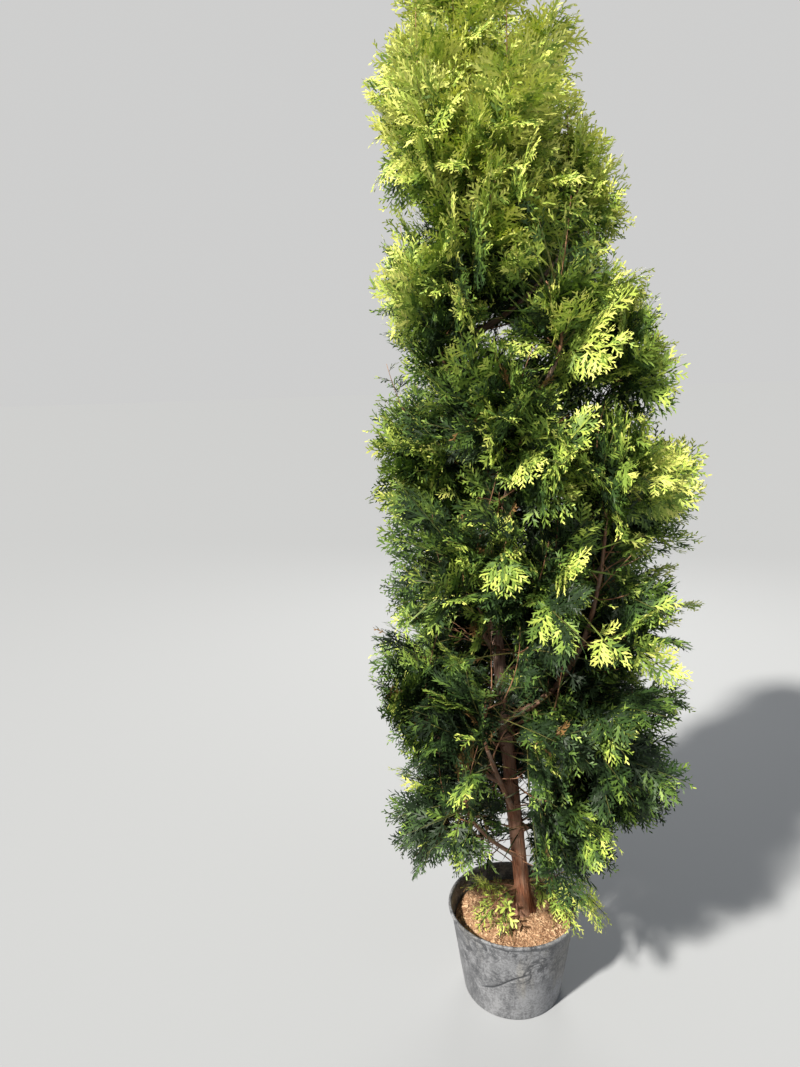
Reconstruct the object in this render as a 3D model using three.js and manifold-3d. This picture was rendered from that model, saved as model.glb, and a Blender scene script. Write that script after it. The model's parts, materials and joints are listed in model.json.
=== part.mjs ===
// A young thuja, two metres tall, growing in a round plastic nursery pot.
// Millimetres, +Z up. The origin is the centre of the pot's flat underside, +X is to the right of
// the plant as seen from its front, and +Y runs away from the viewer.
import * as THREE from "three";
import { mergeVertices } from "three/addons/utils/BufferGeometryUtils.js";
import Module from "manifold-3d";

const wasm = await Module();
wasm.setup();

// Pot and soil
const POT_HEIGHT = 205;
const POT_RIM_RADIUS = 140;
const POT_SHOULDER_RADIUS = 136;
const POT_FOOT_RADIUS = 108;
const POT_WALL = 3;
const POT_FLOOR = 4;
const RIM_DEPTH = 14;
const SOIL_LEVEL = 163;
const SOIL_CROWN = 5;
const SOIL_FLAT_RADIUS = 104;
const ROUND_SIDES = 36;
const RIM_MARKS = 90;

// Trunk: a leaning line from the soil to the foot of the leading shoot
const GAP = 0.3;
const TRUNK_FOOT = SOIL_LEVEL + SOIL_CROWN + GAP;
const TRUNK_TIP = 1930;
const TRUNK_FOOT_X = 30;
const TRUNK_FOOT_Y = 15;
const TRUNK_LEAN = 125;
const TRUNK_LEAN_POWER = 1.35;
const TRUNK_LEAN_BACK = 12;
const TRUNK_SWAY = 3;
const TRUNK_RADIUS = 17.5;
const TRUNK_TIP_RADIUS = 2.6;
const FLARE = 9;
const FLARE_HEIGHT = 28;
const TRUNK_SIDES = 8;
const TRUNK_BANDS = 20;

// The thin second stem that rises beside the trunk
const SIDE_STEM_FOOT = [88, 40];
const SIDE_STEM_BOW = [92, 36, 430];
const SIDE_STEM_TIP = [46, 6, 630];
const SIDE_STEM_RADIUS = 5;
const SIDE_STEM_TIP_RADIUS = 3;
const SIDE_STEM_FOLIAGE = [110, 325, 0.42];

// The crown's outline: height, the X of its middle and its radius there
const CROWN = [
  [150, 20, 165],
  [330, 10, 225],
  [480, 18, 270],
  [700, 44, 308],
  [975, 50, 308],
  [1250, 38, 286],
  [1480, 0, 242],
  [1720, -36, 198],
  [1930, -66, 158],
  [2060, -92, 95],
  [2125, -100, 40],
];

// Boughs: the height where each leaves the trunk, the height of its tip, the tip's azimuth in
// degrees from +X towards +Y about the crown's middle, its share of the crown's radius, how
// strongly the bough sweeps out before it turns up, its radius, and the rise of the foliage on it
const BOUGHS = {
  low_left: [309, 450, 219, 0.5, 0.2, 5, 80],
  low_back: [345, 470, 92, 0.46, 0.4, 5, 90],
  low_right: [372, 480, 350, 0.5, 0.4, 5, 90],
  left_sweep: [421, 650, 232, 0.58, 0.1, 6, 110],
  long_left: [478, 640, 192, 0.7, 0.3, 6, 130],
  back_left: [560, 710, 135, 0.5, 0.5, 6, 130],
  right_sweep: [640, 880, 315, 0.4, 0.7, 7, 0],
  back_right: [690, 860, 52, 0.5, 0.5, 6, 140],
  short_left: [797, 890, 212, 0.45, 0.9, 5.5, 130],
  right_mid: [840, 990, 8, 0.54, 0.5, 6, 140],
  left_mid: [925, 1080, 165, 0.5, 0.5, 5.5, 130],
  back_mid: [960, 1120, 100, 0.48, 0.5, 5.5, 140],
  front_leader: [1050, 1165, 238, 0.42, 0.9, 4.5, 130],
  right_high: [1150, 1290, 345, 0.52, 0.5, 5, 140],
  front_high: [1227, 1370, 285, 0.54, 0.6, 5, 130],
  left_high: [1261, 1380, 203, 0.62, 0.4, 5, 120],
  back_high: [1270, 1420, 70, 0.48, 0.5, 5, 140],
  right_fork: [1424, 1590, 15, 0.58, 0.5, 5.5, 130],
  left_top: [1560, 1680, 195, 0.48, 0.7, 3.8, 120],
  back_top: [1590, 1720, 105, 0.46, 0.7, 3.6, 126],
};
const BOUGH_TIP_SHARE = 0.65;
const BOUGH_SIDES = 5;
const BOUGH_BANDS = 5;

// The long sweep on the right is two limbs: at its bend the second goes on straight up.
const RIGHT_RISE = [1050, 321, 0.48, 3, 130];

// Foliage that grows straight from the trunk: height, rise, azimuth, share of the crown's radius,
// and the length of its sprays
const TRUNK_SHOOTS = {
  foot_left: [228, -8, 212, 0.45, 100],
  over_rim: [242, 7, 345, 0.62, 100],
  low_front: [380, 90, 305, 0.46, 150],
  mid_rear: [520, 110, 62, 0.46, 205],
  mid_front: [620, 120, 302, 0.46, 205],
  mid_right: [740, 120, 352, 0.5, 205],
  upper_front: [880, 140, 280, 0.5, 205],
  upper_rear: [1150, 130, 140, 0.48, 205],
  high_front: [1440, 130, 255, 0.5, 205],
  top_front: [1650, 130, 300, 0.5, 205],
  top_right: [1750, 110, 20, 0.45, 190],
  top_left: [1800, 100, 170, 0.42, 180],
};
const SHOOT_ROOT_RADIUS = 3.6;

// The rule of a mass of foliage
const FOLIAGE_SHARE = 0.62;
const STEM_TIP_RADIUS = 2.6;
const TWIGS = 4;
const TWIG_FIRST = 0.1;
const TWIG_LAST = 0.86;
const TWIG_ANGLE = 50;
const TWIG_REACH = 60;
const TWIG_RADIUS = 1.7;
const TWIG_DROOP = 0.1;
const SPRAY_LENGTH = 205;
const SPRAY_SIZES = [1.1, 1, 0.9, 0.8, 0.7, 0.6, 0.5];
const SPRAY_TRIES = 16;
const SPRAY_ANGLE = 46;
const SPRAY_TURN = 22;
const SPRAY_ROLL = 80;
const DROOP_LOW = 0.55;
const DROOP_HIGH = -0.1;
const DROOP_SPAN = [300, 1400];
const SPRAY_ROOT_DEPTH = 2.2;
const SPRAY_DEPTH = 0.015;
const SPRAY_NECK = 1.3;
const SPRAY_ROOT_ZONE = 14;
// The two sides of a spray's outline, as shares of its length along and aside: in turn a tooth's
// tip and the notch behind it. The teeth of one side stand between those of the other.
const SPRAY_TEETH = [
  [[0.43, 0.33], [0.27, 0.08], [0.74, 0.27], [0.54, 0.07]],
  [[0.6, 0.33], [0.4, 0.08], [0.89, 0.19], [0.7, 0.06]],
];
const SPRAY_RIDGE = 0.3;
const LIMB_CLEARANCE = 4.5;
const OWN_CLEARANCE = 2.5;
const LIMB_STEP = 6;
const SPACE_CLEARANCE = 0.6;
// Slivers thinner than this, left by fusing, are closed up.
const SLIVER = 0.15;

const BARK = new THREE.MeshStandardMaterial({ color: 0x7a4a33, roughness: 0.9, metalness: 0 });
const TWIG_BARK = new THREE.MeshStandardMaterial({ color: 0x8a5f42, roughness: 0.9, metalness: 0 });
const LEAF_LOW = new THREE.MeshStandardMaterial({ color: 0x4f7a2a, roughness: 0.65, metalness: 0 });
const LEAF_HIGH = new THREE.MeshStandardMaterial({ color: 0x9ab52e, roughness: 0.65, metalness: 0 });
const POT_PLASTIC = new THREE.MeshStandardMaterial({ color: 0x4a4e55, roughness: 0.7, metalness: 0 });
const SOIL = new THREE.MeshStandardMaterial({ color: 0x8b5a38, roughness: 1, metalness: 0 });

const UP = new THREE.Vector3(0, 0, 1);
const radians = THREE.MathUtils.degToRad;

// A repeatable number from 0 to 1 for each mass, twig, spray and use.
function chance(mass, twig, spray, use) {
  const wave = Math.sin(mass * 12.9898 + twig * 78.233 + spray * 37.719 + use * 4.581) * 43758.5453;
  return wave - Math.floor(wave);
}

function about(middle, spread, draw) {
  return middle + spread * (2 * draw - 1);
}

// Horizontal direction at an azimuth.
function outward(azimuth) {
  return new THREE.Vector3(Math.cos(radians(azimuth)), Math.sin(radians(azimuth)), 0);
}

// A closed geometry as a solid that can be joined and cut.
function solidOf(shape) {
  shape.deleteAttribute("normal");
  shape.deleteAttribute("uv");
  const merged = mergeVertices(shape, 1e-4);
  const vertProperties = new Float32Array(merged.getAttribute("position").array);
  const triVerts = new Uint32Array(merged.index.array);
  return new wasm.Manifold(new wasm.Mesh({ numProp: 3, vertProperties, triVerts }));
}

// The largest piece of a solid, with any sealed hollow filled, as a geometry.
function geometryOf(solid) {
  const pieces = solid.decompose();
  pieces.sort((a, b) => b.volume() - a.volume());
  const mesh = pieces[0].getMesh();
  const shape = new THREE.BufferGeometry();
  shape.setAttribute("position", new THREE.BufferAttribute(mesh.vertProperties, 3));
  shape.setIndex(new THREE.BufferAttribute(mesh.triVerts, 1));
  return shape;
}

function named(name, shape, material) {
  const mesh = new THREE.Mesh(shape, material);
  mesh.name = name;
  return mesh;
}

// A tapering limb: a cylinder whose rings are set square along a curve, with flat ends.
function limbShape(curve, radiusAt, sides, bands) {
  const shape = new THREE.CylinderGeometry(1, 1, 1, sides, bands);
  const place = shape.getAttribute("position");
  const frames = curve.computeFrenetFrames(bands);
  for (let i = 0; i < place.count; i++) {
    const along = place.getY(i) + 0.5;
    const band = Math.round(along * bands);
    const radius = radiusAt(along);
    const point = curve.getPointAt(along);
    point.addScaledVector(frames.normals[band], place.getX(i) * radius);
    point.addScaledVector(frames.binormals[band], -place.getZ(i) * radius);
    place.setXYZ(i, point.x, point.y, point.z);
  }
  return shape;
}

// The trunk's axis: it leans to the left, fast at first and then ever less, with a slight sway.
class TrunkAxis extends THREE.Curve {
  getPoint(along, target = new THREE.Vector3()) {
    const lean = TRUNK_LEAN * (1 - Math.pow(1 - along, TRUNK_LEAN_POWER));
    const sway = TRUNK_SWAY * Math.sin(5 * Math.PI * along) * along;
    return target.set(
      TRUNK_FOOT_X - lean + sway,
      TRUNK_FOOT_Y - TRUNK_LEAN_BACK * along + sway,
      TRUNK_FOOT + (TRUNK_TIP - TRUNK_FOOT) * along,
    );
  }
}

const trunkAxis = new TrunkAxis();

function trunkShare(height) {
  return (height - TRUNK_FOOT) / (TRUNK_TIP - TRUNK_FOOT);
}

function trunkRadius(along) {
  const flare = FLARE * Math.exp((-along * (TRUNK_TIP - TRUNK_FOOT)) / FLARE_HEIGHT);
  return TRUNK_TIP_RADIUS + (TRUNK_RADIUS - TRUNK_TIP_RADIUS) * (1 - along) + flare;
}

// The root flare has three low buttresses that fade up the trunk.
function buttress(along, turn) {
  const fade = Math.exp((-along * (TRUNK_TIP - TRUNK_FOOT)) / FLARE_HEIGHT);
  return 1 + 0.16 * fade * Math.cos(3 * turn + 0.6);
}

// The trunk's curve is read by height, so that its first ring lies flat on the soil.
function trunkShape(extra) {
  const shape = new THREE.CylinderGeometry(1, 1, 1, TRUNK_SIDES, TRUNK_BANDS);
  const place = shape.getAttribute("position");
  const point = new THREE.Vector3();
  for (let i = 0; i < place.count; i++) {
    const along = Math.pow(place.getY(i) + 0.5, 1.25);
    const turn = Math.atan2(place.getZ(i), place.getX(i));
    const radius = trunkRadius(along) * buttress(along, turn) + extra;
    trunkAxis.getPoint(along, point);
    place.setXYZ(i, point.x + place.getX(i) * radius, point.y - place.getZ(i) * radius, point.z);
  }
  return shape;
}

// The crown's middle and radius at a height.
function crownAt(height) {
  const above = Math.max(1, CROWN.findIndex(([z]) => z >= height));
  const row = height > CROWN.at(-1)[0] ? CROWN.length - 1 : above;
  const [low, high] = [CROWN[row - 1], CROWN[row]];
  const share = (height - low[0]) / (high[0] - low[0]);
  return low.map((value, i) => value + (high[i] - value) * share);
}

function crownPoint(height, azimuth, share) {
  const [, middle, radius] = crownAt(height);
  return outward(azimuth).multiplyScalar(radius * share).add(new THREE.Vector3(middle, 0, height));
}

// A limb from one point to another that first sweeps out sideways and then turns up.
function sweepCurve(foot, tip, sweep) {
  const bend = foot.clone().lerp(tip, 0.5);
  bend.x += (tip.x - foot.x) * 0.35 * sweep;
  bend.y += (tip.y - foot.y) * 0.35 * sweep;
  bend.z -= (tip.z - foot.z) * 0.3 * sweep;
  return new THREE.QuadraticBezierCurve3(foot, bend, tip);
}

// The stem of a mass of foliage: it goes on as its limb points and ends near the crown's outline.
function stemCurve(root, heading, rise, azimuth, share) {
  const tip = crownPoint(root.z + rise, azimuth, share);
  const bend = root.clone().addScaledVector(heading, root.distanceTo(tip) * 0.48);
  return new THREE.QuadraticBezierCurve3(root, bend, tip);
}

function headingAt(curve, along) {
  const first = curve.v1.clone().sub(curve.v0).multiplyScalar(1 - along);
  const second = curve.v2.clone().sub(curve.v1).multiplyScalar(along);
  return first.add(second).normalize();
}

// All limbs that foliage keeps clear of, each as balls along its axis.
const limbs = [];

function remember(owner, curve, radiusAt) {
  const steps = Math.ceil(curve.getLength() / LIMB_STEP);
  for (let i = 0; i <= steps; i++) {
    limbs.push({ owner, centre: curve.getPoint(i / steps), radius: radiusAt(i / steps) });
  }
}

const rim = new THREE.EllipseCurve(0, 0, POT_RIM_RADIUS - 3, POT_RIM_RADIUS - 3);
for (const { x, y } of rim.getPoints(RIM_MARKS)) {
  limbs.push({ owner: "pot", centre: new THREE.Vector3(x, y, POT_HEIGHT - 4), radius: 8 });
}

// A spray is a toothed blade: flat across below, a little arched, with a low ridge along its upper
// side. Its upper and lower faces part along the same lines, so they never pass through each other.
function bladeCorners(spray) {
  const across = new THREE.Vector3().crossVectors(spray.normal, spray.heading).normalize();
  const corner = (along, aside, thick) => {
    const point = spray.root.clone().addScaledVector(spray.heading, along * spray.length);
    point.addScaledVector(across, aside * spray.length);
    return point.addScaledVector(spray.normal, thick - spray.arch * spray.length * along * along);
  };
  const neck = [0, SPRAY_NECK / spray.length];
  const sides = [1, -1].map((side, i) => {
    const outline = [neck, ...SPRAY_TEETH[spray.hand > 0 ? i : 1 - i]];
    return outline.map(([along, aside]) => corner(along, side * aside, 0));
  });
  const ridge = [corner(0, 0, SPRAY_ROOT_DEPTH), corner(SPRAY_RIDGE, 0, spray.length * SPRAY_DEPTH)];
  const keel = [corner(0, 0, 0), corner(SPRAY_RIDGE, 0, 0)];
  return { sides, apex: corner(1, 0, 0), ridge, keel };
}

// The faces of a blade on one side of its spine, which is its ridge above or its keel below.
function bladeHalf([neck, tooth1, notch1, tooth2, notch2], apex, [root, middle]) {
  return [
    [root, neck, tooth1],
    [root, tooth1, notch1],
    [root, notch1, middle],
    [middle, notch1, tooth2],
    [middle, tooth2, notch2],
    [middle, notch2, apex],
  ];
}

function bladeFaces(spray) {
  const { sides, apex, ridge, keel } = bladeCorners(spray);
  const [left, right] = sides;
  const turnedOver = ([a, b, c]) => [a, c, b];
  return [
    ...bladeHalf(left, apex, ridge).map(turnedOver),
    ...bladeHalf(right, apex, ridge),
    ...bladeHalf(left, apex, keel),
    ...bladeHalf(right, apex, keel).map(turnedOver),
    [ridge[0], left[0], keel[0]],
    [ridge[0], keel[0], right[0]],
  ];
}

function bladeSolid(faces) {
  return solidOf(new THREE.BufferGeometry().setFromPoints(faces.flat()));
}

// A point that foliage may take up: not in or against the pot or the soil.
function clearOfPot(point) {
  const radial = Math.hypot(point.x, point.y);
  if (radial > POT_RIM_RADIUS + 5) return point.z > POT_HEIGHT - 70;
  if (radial < SOIL_FLAT_RADIUS) return point.z > TRUNK_FOOT + 3;
  return point.z > POT_HEIGHT + 5;
}

// Each mass keeps to the part of the crown that lies nearer to its own stem than to any other.
const masses = [];

function farFrom(mass, point) {
  return Math.min(...mass.marks.map((mark) => mark.distanceTo(point)));
}

function insideSpace(mass, point, clearance, spread) {
  const [, middle, radius] = crownAt(point.z);
  if (Math.hypot(point.x - middle, point.y) > radius * spread || !clearOfPot(point)) return false;
  const own = farFrom(mass, point) + 2 * clearance;
  return masses.every((other) => other === mass || farFrom(other, point) > own);
}

// Whether a spray or twig comes too near to a limb, or to its own mass's stem and twigs away from
// where it grows from them.
function touchesLimb(mass, triangles, root, middle, reach) {
  const nearest = new THREE.Vector3();
  return limbs.some(({ owner, centre, radius }) => {
    const own = owner === mass.name;
    if (own && centre.distanceTo(root) < SPRAY_ROOT_ZONE) return false;
    const keep = radius + (own ? OWN_CLEARANCE : LIMB_CLEARANCE);
    if (centre.distanceTo(middle) > reach + keep) return false;
    return triangles.some((t) => t.closestPointToPoint(centre, nearest).distanceTo(centre) < keep);
  });
}

// Whether an edge of one set of faces passes through the other set, away from both roots.
function crosses(edged, faced) {
  const ray = new THREE.Ray();
  const hit = new THREE.Vector3();
  return edged.faces.some((triangle) => triangle.some((from, i) => {
    const to = triangle[(i + 1) % 3];
    const span = from.distanceTo(to);
    ray.set(from, to.clone().sub(from).normalize());
    return faced.faces.some(([a, b, c]) => {
      if (!ray.intersectTriangle(a, b, c, false, hit) || hit.distanceTo(from) > span) return false;
      return [edged, faced].every(({ root }) => hit.distanceTo(root) > SPRAY_ROOT_ZONE);
    });
  }));
}

// Whether a spray stays in its mass's space, clear of every limb and of the sprays before it.
function fits(mass, spray, grown) {
  const inside = (point) => insideSpace(mass, point, SPACE_CLEARANCE, spray.spread);
  if (!spray.faces.flat().every(inside)) return false;
  const triangles = spray.faces.map((corners) => new THREE.Triangle(...corners));
  if (touchesLimb(mass, triangles, spray.root, spray.middle, spray.length * 0.6)) return false;
  return !grown.some((other) => {
    if (other.middle.distanceTo(spray.middle) > (other.length + spray.length) * 0.62) return false;
    return crosses(other, spray) || crosses(spray, other);
  });
}

// The largest of a spray's sizes that fits in one of its seeded directions, or null.
function fittedSpray(mass, bud, grown) {
  for (const size of SPRAY_SIZES) {
    for (let trial = 0; trial < SPRAY_TRIES; trial++) {
      const spray = sprayOn(mass, bud, trial, size);
      if (fits(mass, spray, grown)) return spray;
    }
  }
  return null;
}

// A twig as a three-sided spike from its stem, or null where it would leave its space.
function fittedTwig(mass, { root, tip }) {
  const points = [0.3, 0.65, 1].map((share) => root.clone().lerp(tip, share));
  if (!points.every((point) => insideSpace(mass, point, TWIG_RADIUS, 1))) return null;
  const sliver = new THREE.Triangle(points[0], points[1], tip);
  if (touchesLimb(mass, [sliver], root, points[1], root.distanceTo(tip))) return null;
  remember(mass.name, new THREE.LineCurve3(root, tip), () => TWIG_RADIUS / 2);
  const spike = new THREE.ConeGeometry(TWIG_RADIUS, root.distanceTo(tip) * 1.12, 3);
  spike.translate(0, root.distanceTo(tip) * 0.56, 0);
  const turn = new THREE.Quaternion().setFromUnitVectors(
    new THREE.Vector3(0, 1, 0),
    tip.clone().sub(root).normalize(),
  );
  return solidOf(spike.applyQuaternion(turn).translate(root.x, root.y, root.z));
}

// How much sprays hang at a height: low ones hang down, those at the top stand up.
function droopAt(height) {
  const share = THREE.MathUtils.clamp(THREE.MathUtils.inverseLerp(...DROOP_SPAN, height), 0, 1);
  return DROOP_LOW + (DROOP_HIGH - DROOP_LOW) * share;
}

// A spray's direction and the way it faces: turned aside from its twig and hanging as it would.
function sprayOn(mass, bud, trial, size) {
  const { root, heading, aside, side } = bud;
  const draw = (use) => chance(mass.number, bud.number, trial, use);
  const angle = radians(about(side ? SPRAY_ANGLE : 0, SPRAY_TURN, draw(1))) * (side || 1);
  const way = heading.clone().multiplyScalar(Math.cos(angle)).addScaledVector(aside, Math.sin(angle));
  way.addScaledVector(UP, -droopAt(root.z)).normalize();
  const normal = new THREE.Vector3().crossVectors(way, aside).normalize();
  if (normal.z < 0) normal.negate();
  normal.applyAxisAngle(way, radians(about(0, SPRAY_ROLL, draw(2))));
  const length = bud.reach * size * about(1, 0.08, draw(3));
  const spray = { root, heading: way, normal, length, arch: about(0.12, 0.08, draw(4)) };
  spray.hand = side || (bud.number % 2 ? 1 : -1);
  spray.spread = about(1.05, 0.07, draw(5));
  spray.middle = spray.root.clone().addScaledVector(way, length / 2);
  spray.faces = bladeFaces(spray);
  return spray;
}

// The seeded rule of one mass: twigs in turn to the left and right of its stem; buds at the end of
// the stem and of each twig, on the stem across from each twig, and along each twig.
function growth(mass) {
  const twigs = [];
  const ends = [];
  const sides = [];
  for (let k = 0; k < TWIGS; k++) {
    const draw = (use) => chance(mass.number, k, 0, use);
    const share = TWIG_FIRST + ((TWIG_LAST - TWIG_FIRST) * (k + 0.7 * draw(5))) / (TWIGS - 0.3);
    const root = mass.stem.getPoint(share);
    const heading = headingAt(mass.stem, share);
    const aside = new THREE.Vector3().crossVectors(heading, UP).normalize();
    aside.applyAxisAngle(heading, radians(about(0, 70, draw(6))));
    const side = (k + mass.number) % 2 ? 1 : -1;
    const angle = radians(about(TWIG_ANGLE, 9, draw(7))) * side;
    const way = heading.clone().multiplyScalar(Math.cos(angle)).addScaledVector(aside, Math.sin(angle));
    way.addScaledVector(UP, -TWIG_DROOP).normalize();
    const reach = TWIG_REACH * (1.2 - 0.5 * share) * about(1, 0.15, draw(8));
    const tip = root.clone().addScaledVector(way, reach);
    const level = aside.clone().addScaledVector(way, -aside.dot(way)).normalize();
    const middle = root.clone().addScaledVector(way, reach * 0.4);
    twigs.push({ root, tip });
    const first = 10 + 3 * k;
    ends.push({ twig: k, number: first, root: tip, heading: way, aside: level, side: 0, reach: mass.size });
    sides.push({ number: first + 1, root, heading, aside, side: -side, reach: mass.size });
    sides.push({ twig: k, number: first + 2, root: middle, heading: way, aside: level, side, reach: mass.size });
  }
  const last = headingAt(mass.stem, 1);
  const flat = new THREE.Vector3().crossVectors(last, UP).normalize();
  const tip = mass.stem.getPoint(0.98);
  const leader = { number: 9, root: tip, heading: last, aside: flat, side: 0, reach: mass.size };
  return { twigs, buds: [leader, ...ends, ...sides] };
}

function stemRadius(mass) {
  return (along) => mass.radius + (STEM_TIP_RADIUS - mass.radius) * along;
}

// One mass of foliage, fused to one body and cut clear of the trunk that it grows from.
function massShape(mass, trunkRoom) {
  const { twigs, buds } = growth(mass);
  const spikes = twigs.map((twig) => fittedTwig(mass, twig));
  const grown = [];
  for (const bud of buds) {
    const spray = bud.twig === undefined || spikes[bud.twig] ? fittedSpray(mass, bud, grown) : null;
    if (spray) grown.push(spray);
  }
  const stem = solidOf(limbShape(mass.stem, stemRadius(mass), 4, 3));
  const blades = grown.map(({ faces }) => bladeSolid(faces));
  const joined = wasm.Manifold.union([stem, ...spikes.filter(Boolean), ...blades]);
  return geometryOf((mass.fromTrunk ? joined.subtract(trunkRoom) : joined).asOriginal().simplify(SLIVER));
}

function addMass(name, root, heading, [rise, azimuth, share, size = SPRAY_LENGTH], radius, fromTrunk) {
  const stem = stemCurve(root, heading, rise, azimuth, share);
  const mass = { name, number: masses.length + 1, stem, size, radius, fromTrunk };
  mass.marks = [0.1, 0.28, 0.46, 0.64, 0.82, 1].map((along) => stem.getPoint(along));
  masses.push(mass);
  remember(name, stem, stemRadius(mass));
}

const potSlope = (POT_SHOULDER_RADIUS - POT_FOOT_RADIUS) / POT_HEIGHT;

// A profile of radius and height turned round the Z axis.
function turned(profile) {
  const shape = new THREE.LatheGeometry(profile.map(([r, z]) => new THREE.Vector2(r, z)), ROUND_SIDES);
  return shape.rotateX(Math.PI / 2);
}

// The pot: a tapering cup with a turned-over rim.
function potShape() {
  const lipFoot = POT_HEIGHT - RIM_DEPTH;
  const shoulder = POT_FOOT_RADIUS + potSlope * lipFoot;
  return turned([
    [0, 0],
    [POT_FOOT_RADIUS - 3, 0],
    [POT_FOOT_RADIUS, 3],
    [shoulder, lipFoot],
    [POT_RIM_RADIUS - 1, lipFoot + 1.5],
    [POT_RIM_RADIUS, POT_HEIGHT - 2],
    [POT_RIM_RADIUS - 1.5, POT_HEIGHT],
    [POT_RIM_RADIUS - 5, POT_HEIGHT],
    [shoulder - POT_WALL, lipFoot],
    [POT_FOOT_RADIUS - POT_WALL, POT_FLOOR],
    [0, POT_FLOOR],
  ]);
}

// The soil fills the pot to a little below its rim, with a flat crown that the stems stand on.
function soilShape() {
  const inner = (height) => POT_FOOT_RADIUS - POT_WALL + potSlope * height - 1;
  return turned([
    [0, POT_FLOOR + GAP],
    [inner(POT_FLOOR), POT_FLOOR + GAP],
    [inner(SOIL_LEVEL), SOIL_LEVEL],
    [SOIL_FLAT_RADIUS, SOIL_LEVEL + SOIL_CROWN],
    [0, SOIL_LEVEL + SOIL_CROWN],
  ]);
}

const plant = new THREE.Group();
plant.name = "potted_thuja";

plant.add(named("pot", potShape(), POT_PLASTIC));
plant.add(named("soil", soilShape(), SOIL));

const trunk = solidOf(trunkShape(0));
const trunkRoom = solidOf(trunkShape(GAP + 0.05));
plant.add(named("trunk", geometryOf(trunk), BARK));
remember("trunk", trunkAxis, trunkRadius);

const sideStemCurve = new THREE.QuadraticBezierCurve3(
  new THREE.Vector3(...SIDE_STEM_FOOT, TRUNK_FOOT - 4),
  new THREE.Vector3(...SIDE_STEM_BOW),
  new THREE.Vector3(...SIDE_STEM_TIP),
);
const sideStemRadius = (along) => SIDE_STEM_RADIUS + (SIDE_STEM_TIP_RADIUS - SIDE_STEM_RADIUS) * along;
const soilRoom = new THREE.BoxGeometry(400, 400, 100).translate(0, 0, TRUNK_FOOT - 50);
const sideStem = solidOf(limbShape(sideStemCurve, sideStemRadius, 6, 7)).subtract(solidOf(soilRoom));
plant.add(named("side_stem", geometryOf(sideStem), BARK));
remember("side_stem", sideStemCurve, sideStemRadius);

// Adds a bough along a curve and returns where the next thing on its tip starts, 0.3 mm clear.
function addBough(name, curve, radius, tipRadius) {
  const radiusAt = (along) => radius + (tipRadius - radius) * along;
  const bough = solidOf(limbShape(curve, radiusAt, BOUGH_SIDES, BOUGH_BANDS)).subtract(trunkRoom);
  plant.add(named("bough_" + name, geometryOf(bough), TWIG_BARK));
  remember("bough_" + name, curve, radiusAt);
  const heading = headingAt(curve, 1);
  return { heading, root: curve.v2.clone().addScaledVector(heading, GAP) };
}

for (const [name, [foot, top, azimuth, share, sweep, radius, rise]] of Object.entries(BOUGHS)) {
  const start = trunkAxis.getPoint(trunkShare(foot));
  const curve = sweepCurve(start, crownPoint(top, azimuth, share), sweep);
  const tipRadius = radius * BOUGH_TIP_SHARE;
  const { root, heading } = addBough(name, curve, radius, tipRadius);
  if (rise > 0) {
    addMass("foliage_" + name, root, heading, [rise, azimuth, FOLIAGE_SHARE], tipRadius, false);
    continue;
  }
  const [top2, azimuth2, share2, tipRadius2, rise2] = RIGHT_RISE;
  const second = stemCurve(root, heading, top2 - root.z, azimuth2, share2);
  const end = addBough("right_rise", second, tipRadius, tipRadius2);
  const place = [rise2, azimuth2, FOLIAGE_SHARE];
  addMass("foliage_right_rise", end.root, end.heading, place, tipRadius2, false);
}

for (const [name, [height, ...place]] of Object.entries(TRUNK_SHOOTS)) {
  const root = trunkAxis.getPoint(trunkShare(height));
  const heading = outward(place[1]).addScaledVector(UP, 0.6).normalize();
  addMass("foliage_" + name, root, heading, place, SHOOT_ROOT_RADIUS, true);
}

const sideHeading = headingAt(sideStemCurve, 1);
const sideRoot = sideStemCurve.v2.clone().addScaledVector(sideHeading, GAP);
addMass("foliage_side_stem", sideRoot, sideHeading, SIDE_STEM_FOLIAGE, SIDE_STEM_TIP_RADIUS, false);

const topRoot = trunkAxis.getPoint(1).addScaledVector(UP, GAP);
addMass("foliage_leading_shoot", topRoot, UP, [90, 200, 0.1], TRUNK_TIP_RADIUS, false);

for (const mass of masses) {
  const leaf = mass.marks[3].z > 1000 ? LEAF_HIGH : LEAF_LOW;
  plant.add(named(mass.name, massShape(mass, trunkRoom), leaf));
}

export default plant;
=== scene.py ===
"""A young thuja, two metres tall, in a round plastic nursery pot.

Lengths are in millimetres until a piece is made, as in the part's source. Z is up, X is to the right
of the plant as seen from its front, and Y runs away from the viewer. The limbs, twigs and sprays grow
by the source's seeded rule, which is written again here and carried on to finer sprays.
"""
import json
import math

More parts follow.
